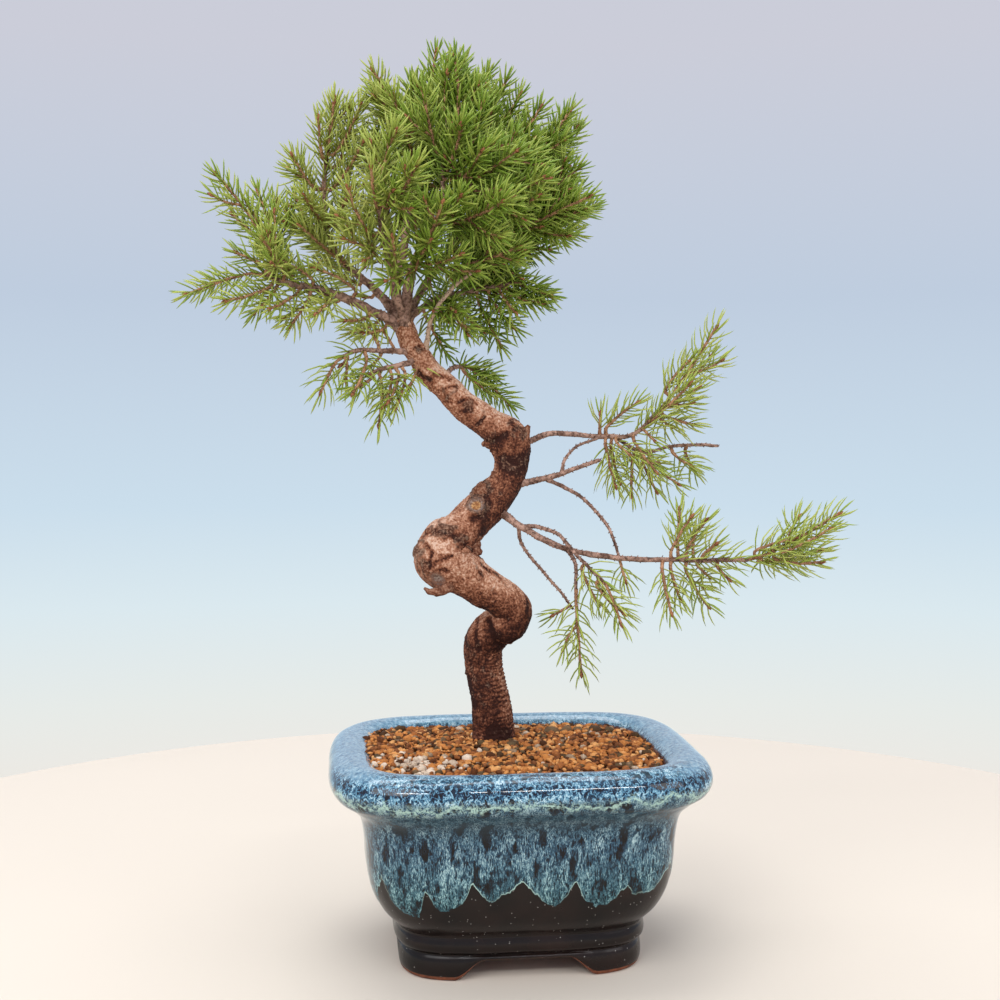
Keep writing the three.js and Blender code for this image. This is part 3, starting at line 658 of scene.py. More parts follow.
def netted_blue(tree, place, height):
    """The coat on the rim: round lace of light blue over navy with darker spots, and on top of the roll,
    most at the sides and the back, an even light blue that is a painted reflection of the sky."""
    tone = lace_tone(tree, (1, 1, 0.7), 540.0, 0.12, 1.0, 190.0)
    spot = use(tree, PATCHES, Stretch=(1, 1, 0.8), Scale=330.0, Detail=2.0, Low=0.62, High=0.66)
    tone = calc(tree, "SUBTRACT", tone, calc(tree, "MULTIPLY", spot, 0.7))
    belt = calc(tree, "MULTIPLY", fade(tree, height, *BELT_STARTS), fade(tree, height, *BELT_ENDS))
    tone = calc(tree, "SUBTRACT", tone, calc(tree, "MULTIPLY", belt, 0.2))
    net = ramp(tree, tone, (0.0, srgb(12, 10, 16)), (0.2, srgb(14, 30, 54)), (0.42, srgb(46, 92, 122)),
               (0.7, srgb(118, 168, 190)), (1.0, srgb(212, 230, 232)))
    cloud = use(tree, PATCHES, "Height", Scale=620.0, Detail=4.0)
    even = ramp(tree, cloud, (0.34, srgb(84, 128, 156)), (0.5, srgb(122, 162, 185)),
                (0.66, srgb(166, 195, 207)))
    parts = add(tree, "SeparateXYZ", {0: place}).outputs
    beside = fade(tree, calc(tree, "ABSOLUTE", parts["X"]), *BESIDE)
    # Painted reflection: the sky's light on top of the roll, painted as an even light blue, most at the sides
    # and the back.
    sky_reflection = calc(tree, "MAXIMUM", beside, fade(tree, parts["Y"], *BEHIND))
    sky_reflection = calc(tree, "ADD", calc(tree, "MULTIPLY", sky_reflection, 0.6), 0.15)
    flat = calc(tree, "MULTIPLY", fade(tree, height, *FLAT_TOP), sky_reflection)
    return blend(tree, flat, net, even)


def mint_lines(tree, height, over):
    """Pale lines where the glaze gathered: a wavy band under the rim, and round the sharp peaks."""
    sway = use(tree, PATCHES, "Height", Stretch=(1, 1, 0.6), Scale=85.0, Detail=3.0)
    jitter = use(tree, PATCHES, "Height", Scale=330.0, Detail=2.0)
    level = calc(tree, "ADD", calc(tree, "MULTIPLY", sway, 0.014), MINT_LEVEL)
    level = calc(tree, "ADD", level, calc(tree, "MULTIPLY", jitter, 0.004))
    off = calc(tree, "ABSOLUTE", calc(tree, "SUBTRACT", height, level))
    net = use(tree, LACE, "Tone", Scale=420.0, Width=0.14)
    line = calc(tree, "MULTIPLY", fade(tree, off, 0.0010, 0.0003), fade(tree, net, 0.2, 0.6))
    web = calc(tree, "MULTIPLY", fade(tree, off, 0.0032, 0.0008), fade(tree, net, 0.5, 0.95))
    gathered = calc(tree, "MAXIMUM", line, web)
    edge_height = calc(tree, "SUBTRACT", height, calc(tree, "MULTIPLY", over, MM))
    rising = fade(tree, edge_height, *PEAKS_ONLY)
    lip = calc(tree, "MULTIPLY", fade(tree, over, 0.7, 0.35), fade(tree, over, -0.1, 0.15))
    outline = calc(tree, "MULTIPLY", lip, rising)
    return calc(tree, "MAXIMUM", gathered, outline)


def make_glaze():
    """The pot's one material: two coats of glaze, and bare fired clay."""
    material, tree, shader = new_material(
        "running_glaze", Specular_IOR_Level=0.25, Coat_Roughness=0.04)
    over, roll_mark, clay_mark = (read_mark(tree, m) for m in ("over_drip", "rim_roll", "bare_clay"))
    place = add(tree, "TexCoord").outputs["Object"]
    height = add(tree, "SeparateXYZ", {0: place}).outputs["Z"]
    blue = blend(tree, roll_mark, streaked_blue(tree, height), netted_blue(tree, place, height))
    # Painted shade: a dull grey-teal band darkens the wall under the rim's overhang.
    shade = calc(tree, "MULTIPLY", fade(tree, height, *NECK_STARTS), fade(tree, height, *NECK_ENDS))
    blue = blend(tree, calc(tree, "MULTIPLY", shade, 0.5), blue, srgb(54, 72, 80))
    tooth = use(tree, PATCHES, "Height", Stretch=(1, 1, 0.4), Scale=520.0, Detail=4.0)
    over = calc(tree, "ADD", over, calc(tree, "MULTIPLY", calc(tree, "SUBTRACT", tooth, 0.5), 3.4))
    blue = blend(tree, mint_lines(tree, height, over), blue, srgb(174, 204, 192))
    coat = blend(tree, fade(tree, over, -0.12, 0.12), under_glaze(tree), blue)
    grit = use(tree, PATCHES, Scale=500.0, Low=0.3, High=0.7)
    clay = blend(tree, grit, srgb(92, 50, 34), srgb(142, 84, 58))
    tree.links.new(blend(tree, clay_mark, coat, clay), shader.inputs["Base Color"])
    gloss = calc(tree, "ADD", calc(tree, "MULTIPLY", clay_mark, 0.6), 0.22)
    gloss = calc(tree, "SUBTRACT", gloss, calc(tree, "MULTIPLY", fade(tree, over, -0.12, 0.12), 0.12))
    tree.links.new(gloss, shader.inputs["Roughness"])
    wet = calc(tree, "ADD", calc(tree, "MULTIPLY", roll_mark, 0.55), 0.05)
    tree.links.new(wet, shader.inputs["Coat Weight"])
    ripple = use(tree, PATCHES, "Height", Stretch=(1, 1, 0.4), Scale=150.0, Detail=2.0)
    bump(tree, shader, ripple, 0.25)
    return material


pot = make_piece("pot_glazed", pot_shape, [make_glaze()], "glazed_pot", "pot")
cut(pot, [drain_cutter(-1), drain_cutter(1)])
print("pot triangles:", triangles(pot))


# %% [markdown]
# Two squares of plastic netting keep the soil from falling through the drain holes. Their solids have
# the right shape, so they only get their material: dull moulded plastic, a little worn.

# %% The drain netting
material, tree, shader = new_material("netting_plastic", Roughness=0.55)
wear = use(tree, PATCHES, Scale=700.0, Low=0.35, High=0.7)
tree.links.new(blend(tree, wear, srgb(34, 40, 38), srgb(52, 60, 56)), shader.inputs["Base Color"])
bump(tree, shader, use(tree, PATCHES, "Height", Scale=1500.0), 0.05)
for side in ("left", "right"):
    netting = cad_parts["drain_screen_" + side]
    netting.data.materials.clear()
    netting.data.materials.append(material)
print("netting pieces:", 2)

# %% [markdown]
# ## The soil
#
# The soil is baked clay broken into grains of 2 to 5 mm, mostly orange and tan, with grey lava and
# white pumice. A rippled sheet with a pattern would look flat at its edge, so the grains are real:
# thousands of lumps over a dark bed. Each is a cube blown up into a ball and cut by a few drawn
# planes, which leaves flats and corners as a broken stone has them.

# %% The bed
SOIL_EDGE, SOIL_HEAP, SOIL_MOUND = 82.2, 2.6, 2.8
BED_DEPTH = 1.9
WALL_GAP = 0.6
INNER_WALL = [(22, 14.3), (43.5, 14.3), (48.5, 20), (54.6, 36), (57.6, 60), (58.6, 78.5), (60, 82)]


def soil_half(z):
    """The half width of the pot's inside at a height near its rim."""
    return np.interp(z, [78.5, 82, 84.8, 85.4], [58.6, 60, 63.6, 69.8]) - WALL_GAP


def soil_top(share, turn):
    """Points of the soil's surface at a share of the way out: its edge, heaped at the left by the
    cube of the turn's cosine, and a mound that falls off with the share's square."""
    across, deep = plan(turn)
    lean = np.maximum(0, -np.sign(across) * np.abs(across) ** (SQUARENESS / 2)) ** 3
    edge_height = SOIL_EDGE + SOIL_HEAP * lean
    half_width = soil_half(edge_height)
    half_depth = DEPTH_SHARE * (half_width + WALL_GAP) - WALL_GAP
    z = SOIL_EDGE + SOIL_HEAP * lean * share + SOIL_MOUND * (1 - share**2)
    return np.stack(np.broadcast_arrays(
        half_width * across * share, half_depth * deep * share, z), -1)


bed_turns = np.linspace(0, 2 * np.pi, 120, endpoint=False)
bed_x, bed_y = plan(bed_turns)
bed_walls = np.stack([np.stack([
    (a - WALL_GAP) * bed_x, (DEPTH_SHARE * a - WALL_GAP) * bed_y, np.full(120, float(z))], -1)
    for a, z in INNER_WALL])
bed_top = soil_top(np.linspace(1, 0.02, 40)[:, None], bed_turns)
bed_top[..., 2] -= BED_DEPTH + 0.5 * noise(bed_top, 3.0, 11)
bed_walls[..., 2] = np.minimum(bed_walls[..., 2], bed_top[0, :, 2] - 0.2)
bed = closed_skin(np.vstack([bed_walls, bed_top]), 0, tint=0.62)
print("bed points:", len(bed["points"]))

# %% The grains
GRAIN_PITCH = 2.45
SMALL_GRAINS = 700
TRUNK_FOOT = (-8.4, 14.4, 8.6)
PALE_HEAP = (-43, -29, 15, 10)


def cube_ball(cells):
    """The points of a cube whose sides have this many cells, each moved out to distance 1, and the
    corners of its faces."""
    step = np.linspace(-1, 1, cells + 1)
    u, v = np.meshgrid(step, step, indexing="ij")
    one = np.ones_like(u)
    sides = [(one, u, v), (-one, v, u), (v, one, u), (u, -one, v), (u, v, one), (v, u, -one)]
    points = np.concatenate([np.stack(side, -1).reshape(-1, 3) for side in sides])
    square = (np.arange(cells)[:, None] * (cells + 1) + np.arange(cells)).ravel()
    face = np.stack([square, square + cells + 1, square + cells + 2, square + 1], 1)
    faces = np.concatenate([face + k * (cells + 1) ** 2 for k in range(6)])
    _, first, back = np.unique(np.round(points, 4), axis=0, return_index=True, return_inverse=True)
    return unit(points[first]), back.ravel()[faces]


def broken_grains(centres, sizes, tints, seed):
    """Lumps at these centres. A point in the direction d lies where the nearest of seven drawn planes
    cuts its ray, and no further out than 1, times the grain's size in each direction."""
    rng = np.random.default_rng(seed)
    ball, faces = cube_ball(2)
    count = len(centres)
    planes = unit(rng.normal(size=(count, 7, 3)))
    facing = np.einsum("pk,njk->npj", ball, planes)
    cutoff = rng.uniform(0.48, 0.88, (count, 1, 7)) / np.maximum(facing, 0.05)
    reach = np.minimum(1.0, cutoff.min(axis=2))
    stretch = rng.uniform(0.68, 1.3, (count, 1, 3)) * [1, 1, 0.84]
    points = ball * reach[..., None] * stretch * sizes[:, None, None]
    spin = rng.uniform(0, 2 * np.pi, (count, 1))
    x, y = points[..., 0].copy(), points[..., 1].copy()
    points[..., 0] = x * np.cos(spin) - y * np.sin(spin)
    points[..., 1] = x * np.sin(spin) + y * np.cos(spin)
    corners = (faces + (np.arange(count) * len(ball))[:, None, None]).reshape(-1, 4)
    return {
        "points": (points + centres[:, None]).reshape(-1, 3), "faces": [(corners, 0)],
        "marks": {"tint": np.repeat(tints, len(ball))},
    }


def grain_places(rng):
    """A hexagonal net of places over the soil with each one shaken, and small grains between."""
    rows, columns = np.meshgrid(np.arange(-26, 27), np.arange(-28, 29), indexing="ij")
    x = (columns + 0.5 * (rows % 2)) * GRAIN_PITCH
    y = rows * GRAIN_PITCH * 0.87
    flat = np.stack([x.ravel(), y.ravel()], 1) + rng.uniform(-0.8, 0.8, (x.size, 2))
    small = rng.uniform(-1, 1, (SMALL_GRAINS, 2)) * [60, 50]
    sizes = np.r_[rng.gamma(9, 0.165, x.size), rng.uniform(0.7, 1.1, SMALL_GRAINS)]
    return np.vstack([flat, small]), np.clip(sizes, 0.9, 2.5)


def onto_soil(flat):
    """The share of the way out of each place, and its point on the soil's surface."""
    turn = np.arctan2(flat[:, 1] / DEPTH_SHARE, flat[:, 0])
    rim = soil_top(np.ones(len(flat)), turn)
    share = np.hypot(*flat.T) / np.hypot(rim[:, 0], rim[:, 1])
    return share, soil_top(share, turn)


rng = np.random.default_rng(7)
flat, sizes = grain_places(rng)
share, centres = onto_soil(flat)
foot_distance = np.hypot(flat[:, 0] - TRUNK_FOOT[0], flat[:, 1] - TRUNK_FOOT[1])
kept = (share < 0.985) & (foot_distance > TRUNK_FOOT[2] + 0.3)
flat, sizes, centres = flat[kept], sizes[kept], centres[kept]
centres[:, 2] += rng.uniform(-1.1, 0.35, len(centres)) - 0.45 * sizes
tints = rng.beta(1.4, 2.0, len(centres))
pale_x, pale_y, pale_w, pale_d = PALE_HEAP
in_heap = ((flat[:, 0] - pale_x) / pale_w) ** 2 + ((flat[:, 1] - pale_y) / pale_d) ** 2
tints = np.where(rng.uniform(size=len(flat)) < 0.75 * np.exp(-in_heap), rng.uniform(0.9, 1, len(flat)), tints)
grains = broken_grains(centres, sizes, tints, 21)
print("grains:", len(centres))

# %% [markdown]
# A few larger things lie on the grains: tufts of dry moss by the back rim and the right corner, and a
# flat chip of bark. They are lumps from the same function, larger and darker.

# %% Moss and a bark chip
CLUMPS = [
    (-53.5, 24, 5.2, 0.70), (-47, 36.5, 4.2, 0.72), (-50, 30, 3.0, 0.74), (40, 31, 4.4, 0.71),
    (46, 30, 4.0, 0.76), (53.5, -15, 4.2, 0.72), (50, 6, 3.0, 0.74), (20, 25.5, 4.4, 0.80),
    (26, 26.5, 4.8, 0.82), (32, 28, 4.0, 0.80), (26.8, -39, 2.9, 0.1), (-13, -36.5, 2.6, 0.08),
    (5, 38, 3.0, 0.95), (-20, 40, 2.6, 0.93), (56, 20, 3.2, 0.72), (-28, 38, 3.4, 0.70),
]
clump_rows = np.array(CLUMPS)
_, clump_centres = onto_soil(clump_rows[:, :2])
clump_centres[:, 2] += 0.1 * clump_rows[:, 2] - 0.9
clumps = broken_grains(clump_centres, clump_rows[:, 2] * 0.78, clump_rows[:, 3], 33)
print("clumps:", len(CLUMPS))


# %% The soil's finish
def make_soil_finish():
    """Baked clay: each grain takes its colour from its own tint, mottled and dusty."""
    material, tree, shader = new_material("baked_clay_grains", Roughness=0.88, Specular_IOR_Level=0.25)
    fine = use(tree, PATCHES, "Height", Scale=900.0, Detail=4.0)
    nudge = calc(tree, "MULTIPLY", calc(tree, "SUBTRACT", fine, 0.5), 0.1)
    tint = calc(tree, "ADD", read_mark(tree, "tint"), nudge)
    colour = ramp(
        tree, tint, (0.0, srgb(232, 176, 114)), (0.18, srgb(204, 134, 70)), (0.36, srgb(170, 104, 54)),
        (0.50, srgb(136, 84, 48)), (0.60, srgb(90, 48, 20)), (0.69, srgb(68, 42, 22)),
        (0.76, srgb(92, 74, 48)), (0.84, srgb(122, 96, 70)), (0.90, srgb(178, 154, 128)),
        (0.96, srgb(226, 206, 184)))
    dark = use(tree, PATCHES, Scale=420.0, Low=0.52, High=0.7)
    colour = blend(tree, calc(tree, "MULTIPLY", dark, 0.45), colour, srgb(66, 30, 12))
    tree.links.new(colour, shader.inputs["Base Color"])
    bump(tree, shader, fine, 0.35)
    return material


soil = make_piece("soil_grains", join([bed, grains, clumps]), [make_soil_finish()], "grit_soil", "soil")
print("soil triangles:", triangles(soil))

# %% [markdown]
# ## The trunk
#
# The trunk was bent while it was young and thickened in its bends. Old cuts healed into rings and
# knots, bark flaked off in dark plates at the bends, and smooth skin grew between. A tube along the
# trunk's path gives the form. Relief then moves each point in or out: broad swellings, fibres along
# the grain, wrinkles across it, flakes cut out of noise, and one term for each healed mark.

# %% The trunk's path
TREE_TURN, TREE_SHIFT = np.radians(-2.5), 1
FOOT = [(-8.5, 14, 60, 7), (-8.8, 14, 72, 8.4)]
TRUNK = [
    (-9, 14, 80, 9.6), (-8.8, 14, 88, 8.8), (-9.6, 14, 98, 8.4), (-11.6, 15, 108, 8.2), (-12.9, 16, 118, 8),
    (-12.8, 15, 125.5, 8.5), (-8.8, 12, 131.6, 8.8), (-3.6, 8, 135.2, 8.9), (-1, 6, 140, 8.1),
    (-5, 4, 145, 8.2), (-13, 1, 150.5, 8.2), (-21.6, -1, 156.4, 9.4), (-30, -1, 163, 12.8),
    (-29.4, 0, 169.4, 10.8), (-24, 2, 173.8, 9), (-17.7, 5, 179.6, 8.6), (-10.6, 7, 186.6, 7.9),
    (-3.4, 8, 196, 6.8), (-1.6, 9, 204.5, 7.5), (-2.8, 9, 211.6, 9), (-6.6, 8, 216, 7.9),
    (-10.5, 7, 219, 6.6), (-16, 6, 223, 6.4), (-23.5, 5, 228.4, 5.9), (-30.3, 4, 235.5, 5.6),
    (-36.4, 4, 240.6, 5.6), (-40.2, 3, 247, 5), (-44, 3, 252, 4.5), (-46, 2, 258, 4.2), (-48, 2, 263, 3.6),
]
TRUNK_SIDES, TRUNK_PER_SPAN = 104, 16


def plant(shape):
    """The tree's own places, turned and shifted as it stands in its pot."""
    c, s = np.cos(TREE_TURN), np.sin(TREE_TURN)
    x, y, z = shape["points"].T
    shape["points"] = np.stack([c * x - s * y + TREE_SHIFT, s * x + c * y, z], 1)
    return shape


trunk_line = smooth_curve(FOOT + TRUNK, TRUNK_PER_SPAN)
trunk_path, trunk_radius = trunk_line[:, :3], trunk_line[:, 3]
trunk_length = np.r_[0, np.cumsum(np.linalg.norm(np.diff(trunk_path, axis=0), axis=1))]
print("trunk length in mm:", round(float(trunk_length[-1])), "rings:", len(trunk_path))

# %% [markdown]
# Each mark has a place on the trunk, a size, and four strengths: how far its middle bulges or sinks,
# how high its healed ring stands, how rough and dark it is, and how much pale heartwood shows.

# %% Healed marks
MARKS = [
    (-21.3, -1.0, 226.9, 3.0, -0.2, 0.6, 0.9, 0.0), (-26.7, -1.3, 234.1, 1.9, -0.1, 0.4, 0.85, 0.0),
    (-31.5, -0.6, 232.4, 1.7, 0.1, 0.3, 0.6, 0.0), (-39.9, -1.2, 250.3, 1.9, 0.1, 0.4, 0.7, 0.0),
    (-10.3, 0.6, 215.3, 1.5, 0.2, 0.4, 0.8, 0.0), (1.5, 2.0, 217.5, 4.6, 0.3, 0.0, 0.75, 0.0),
    (-12.6, 4.4, 211.8, 2.0, 0.9, 0.0, 0.9, 0.0), (-14.8, 3.4, 191.6, 4.0, 0.9, 0.0, 1.0, 0.0),
    (-17.2, -1.8, 185.6, 3.6, -0.6, 1.0, 1.0, 1.0), (-31.1, -8.6, 174.7, 3.2, 0.5, 0.0, 0.9, 0.0),
    (-36.4, -6.0, 174.6, 2.4, 0.6, 0.0, 0.9, 0.0), (-23.3, -9.1, 171.0, 3.0, 0.3, 0.0, 0.75, 0.0),
    (-40.7, -6.0, 167.6, 3.4, -0.2, 0.3, 0.95, 0.0), (-40.1, -8.4, 161.0, 3.0, -0.2, 0.3, 0.9, 0.0),
    (-33.8, -9.4, 155.4, 4.3, -2.6, 0.9, 0.3, 0.5), (-15.4, -1.2, 165.6, 2.0, 0.9, 0.2, 1.0, 0.0),
    (-16.6, -7.8, 156.5, 1.9, -0.5, 0.7, 1.0, 0.0), (-22.0, 14.0, 176.0, 4.0, 0.6, 0.8, 0.9, 0.4),
    (-9.0, 23.0, 112.0, 3.0, -0.3, 0.7, 0.7, 0.3), (2.0, 17.0, 208.0, 3.6, 0.6, 0.6, 0.9, 0.0),
    (-38.0, 8.0, 160.0, 4.5, 0.5, 0.3, 0.9, 0.0), (-6.0, 17.0, 186.0, 3.0, 0.4, 0.6, 0.8, 0.0),
    (-37.0, -3.5, 153.8, 3.2, -2.4, 0.0, 0.4, 0.3),
]


def mark_fields(points):
    """What the marks do at each point. With d, the distance from a mark in its own sizes, the middle
    is the bell exp(-d squared) and the healed ring is a narrow bell round d = 1."""
    lift, rough, pale = 0, 0, 0
    for x, y, z, size, middle, ring, dark, heart in MARKS:
        d = np.linalg.norm(points - [x, y, z], axis=-1) / size
        bell, collar = np.exp(-(d**2)), np.exp(-(((d - 1) / 0.32) ** 2))
        lift = lift + middle * bell + ring * collar
        rough = np.maximum(rough, dark * np.maximum(np.exp(-((d / 1.3) ** 2)) * (heart < 0.5), collar))
        pale = np.maximum(pale, heart * np.exp(-((d / 0.75) ** 4)))
    return lift, rough, pale


# Folds, cracks and ridges: how deep, how wide, how much darker, how corky, and the line they follow.
# How much darker is painted shade in the folds, a painted highlight on the raised ridges, and the
# cracks' own dark bark.
CREASES = [
    (1.3, 1.6, -0.7, 0.1, [(-13.8, -1.3, 142.0), (-11.8, 3.9, 136.7), (-10.2, 2.3, 131.8),
        (-7.1, 4.7, 126.3), (-2.1, 8.7, 124.3)]),
    (0.6, 1, -0.5, 0.1, [(-14.7, 13.2, 138.4), (-16.2, 8.2, 134.4), (-16.7, 7.2, 128.6),
        (-15.4, 7.2, 123.4)]),
    (0.4, 1.2, -0.6, 0.4, [(-18.5, 14.2, 135.3), (-20.2, 14.5, 129.7), (-20.4, 11.1, 125.0)]),
    (0.6, 1.3, -0.6, 0.9, [(-38.8, -4.3, 173.0), (-33.9, -7.9, 175.3), (-28.2, -9.6, 174.1),
        (-23.3, -9.1, 171.2), (-18.1, -4.8, 167.1), (-15.0, -1.0, 164.6)]),
    (0.7, 0.9, -0.8, 0.4, [(-38.0, -8.2, 170.0), (-35.7, -11.9, 166.6), (-37.3, -11.3, 161.2)]),
    (0.5, 0.8, -0.6, 0, [(-36.9, -11.6, 161.2), (-32.4, -13.5, 163.8), (-27.5, -13.3, 165.4)]),
    (0.6, 0.8, -0.5, 0, [(-34.9, -12.0, 158.8), (-32.0, -13.2, 159.7), (-29.2, -13.2, 159.3)]),
    (-0.5, 1.1, 0.22, 0, [(-37.2, -8.4, 170.8), (-34.0, -11.6, 169.0), (-29.9, -11.7, 170.2)]),
    (-0.4, 1, 0.18, 0, [(-35.6, -11.6, 167.4), (-30.8, -13.0, 167.5), (-25.9, -12.7, 166.2)]),
    (0.5, 0.7, -0.6, 0.6, [(-24.9, -0.8, 227.8), (-22.0, -0.7, 229.1), (-18.2, 0.8, 229.5),
        (-16.8, 0.3, 227.5)]),
    (0.3, 1.3, -0.6, 0.7, [(-22.4, -0.2, 224.5), (-19.5, -0.6, 225.4)]),
    (0.4, 0.6, -0.5, 0.6, [(-29.5, -1.5, 234.0), (-27.0, -1.1, 234.8), (-24.5, -0.3, 234.1)]),
    (0.4, 0.7, -0.5, 0.6, [(-43.0, -1.7, 250.0), (-40.6, -1.1, 251.3), (-38.1, -0.7, 249.7)]),
    (0.5, 0.6, -1, 0.5, [(-16.5, 1.0, 218.7), (-14.9, 0.0, 220.4), (-13.3, -0.1, 222.1)]),
    (0.6, 0.8, -0.8, 0.6, [(-13.6, 8.1, 212.0), (-10.2, 2.3, 211.7), (-7.0, 0.3, 213.3),
        (-4.1, 0.2, 215.4)]),
    (0.4, 1.2, -0.7, 0.8, [(-41.4, 0.4, 240.6), (-38.5, -0.5, 238.1), (-36.1, -1.1, 237.3)]),
    (0.2, 1, -0.5, 0.3, [(-34.4, -1.6, 239.8), (-31.5, -1.3, 239.0), (-28.2, -0.7, 237.7)]),
    (0.2, 2.4, -0.6, 1, [(-18.4, 0.2, 189.6), (-15.2, -0.6, 192.0), (-12.4, 0.2, 193.2)]),
    (0.3, 3, -0.9, 1, [(-6.0, 1.9, 203.3), (-1.1, 1.2, 201.6), (4.7, 4.9, 203.6)]),
    (0.3, 1.8, -0.6, 0.7, [(-12.9, 0.2, 190.0), (-12.1, -1.7, 185.5), (-14.3, -2.8, 181.4),
        (-18.5, -4.2, 180.3)]),
    (0.2, 1, -0.6, 0.8, [(-14.9, -5.4, 161.3), (-11.9, -4.6, 158.7), (-8.4, -2.7, 156.4)]),
    (0.5, 1, -0.8, 0.5, [(3.8, 3.5, 146.7), (4.9, 1.7, 143.6), (4.3, 0.0, 140.8)]),
    (0.2, 1.5, -0.6, 0.6, [(-19.9, 12.1, 110.6), (-19.1, 11.4, 104.7), (-17.5, 9.8, 99.0)]),
    (0, 3, -1.1, 0.1, [(-9.2, 5.1, 87.8), (-3.5, 6.8, 86.5)]),
    (0.2, 1.2, -0.6, 0.8, [(-2.2, 3.2, 220.4), (-1.1, 1.4, 216.7)]),
    (0, 2.5, -0.5, 0.3, [(-13.9, -2.6, 177.7), (-15.0, -0.9, 171.7), (-15.0, -1.0, 166.7)]),
    (0.4, 0.8, -1.1, 0.5, [(-18.3, -8.2, 156.5), (-16.6, -7.6, 158.1), (-14.9, -7.2, 156.5),
        (-16.6, -8.0, 154.9), (-18.3, -8.2, 156.5)]),
]


def off_line(points, line):
    """The distance of each point from a bent line: the least of those to its straight spans, where
    the nearest place on a span is the point's shadow on it."""
    nearest = np.inf
    for start, end in zip(np.array(line[:-1]), np.array(line[1:])):
        t = np.clip((points - start) @ (end - start) / ((end - start) @ (end - start)), 0, 1)
        nearest = np.minimum(nearest, np.linalg.norm(points - start - t[..., None] * (end - start), axis=-1))
    return nearest


def crease_fields(points):
    """What the creases do at each point, by a bell of the distance over the width."""
    lift, tone, cork = 0, 0, 0
    for depth, width, darker, corky, line in CREASES:
        bell = np.exp(-((off_line(points, line) / width) ** 2))
        lift = lift - depth * bell
        # Painted shade in the folds and a painted highlight on the ridges, with the cracks' own darker bark.
        tone = tone + darker * bell
        cork = np.maximum(cork, corky * bell)
    return lift, tone, cork


def flakes(points, cell, seed):
    """Plates with steep edges: noise, sheared by a second noise, cut between two near levels."""
    sheared = points + 1.3 * noise(points, 2.4 * cell, seed)[..., None]
    return smoothstep(noise(sheared, cell, seed + 1), 0.0, 0.35)


# How far the bark goes from red-brown to tan at heights up the trunk: partly weathering, and partly
# painted shade that darkens the low trunk
WEATHERING_AND_SHADE = np.array([
    (80, 0.08), (118, 0.14), (134, 0.28), (142, 0.43), (152, 0.64), (172, 0.56), (184, 0.38), (198, 0.25),
    (212, 0.34), (222, 0.66), (240, 0.7), (265, 0.6),
])


def trunk_rings():
    """The trunk's points, with how rough and pale each one is, and its tone from red-brown to tan. The
    tone is partly weathering, and partly painted light and shade: lighter where the bark faces up and
    to the left and on the right of the low trunk, and darker underneath."""
    _, front, side = frames(trunk_path, (0, -1, 0))
    angle = 2 * np.pi * np.arange(TRUNK_SIDES) / TRUNK_SIDES
    out = front[:, None] * np.cos(angle)[:, None] + side[:, None] * np.sin(angle)[:, None]
    smooth = trunk_path[:, None] + out * trunk_radius[:, None, None]
    lift, rough, pale = mark_fields(smooth)
    sunk, tone, cork = crease_fields(smooth)
    swell = 0.055 * noise(smooth, 13, 31) + 0.03 * noise(smooth, 6, 32)
    grain_place = np.stack(np.broadcast_arrays(
        np.cos(angle) * 6, np.sin(angle) * 6, trunk_length[:, None] / 5), -1)
    fibres = 0.26 * noise(grain_place, 1.1, 33) + 0.16 * noise(smooth, 0.8, 38)
    low = 1 - smoothstep(smooth[..., 2], 112, 138)
    place = trunk_length[:, None] + 1.3 * noise(smooth, 5, 34) + 0.9 * noise(smooth, 2.2, 46)
    ringed = 0.3 + 0.7 * smoothstep(out[..., 0], -0.5, 0.6) * low
    wrinkles = 0.3 * np.sin(place * 2 * np.pi / 1.8) * ringed * (0.3 + 0.7 * low)
    torn = 0.55 * noise(smooth, 1.7, 39) + 0.4 * noise(smooth, 3.6, 40)
    old = 0.3 * smoothstep(noise(smooth, 16, 37), 0.0, 0.6)
    rough = smoothstep(np.maximum(np.maximum(rough, cork), old) + torn, 0.25, 0.95)
    plates, scurf = flakes(smooth, 3.0, 35), flakes(smooth, 1.5, 45)
    relief = rough * (0.7 * plates + 0.5 * scurf - 0.35) + (1 - 0.6 * rough) * (fibres + wrinkles)
    # Painted light and shade: lighter where the bark faces up and to the left and on the right of the low
    # trunk, darker underneath.
    facing = 0.38 * out[..., 2] + (0.36 * smoothstep(out[..., 0], 0.1, 0.8) * low) - 0.14 * out[..., 0]
    weathered = np.interp(smooth[..., 2], *WEATHERING_AND_SHADE.T) + facing + tone - 0.9 * wrinkles * low
    moved = out * (swell * trunk_radius[:, None] + relief + lift + sunk)[..., None]
    return smooth + moved, rough, pale, weathered


trunk_points, trunk_rough, trunk_pale, trunk_weathered = trunk_rings()
trunk = closed_skin(
    trunk_points, 0, rough=trunk_rough, heartwood=trunk_pale, weathered=trunk_weathered)
print("trunk points:", len(trunk["points"]))

# %% [markdown]
# Torn stubs stand out of the bark: the hook at the left bend, a jag where the top was cut, and small
# dead pegs. Each is a short bent tube with a ragged radius.

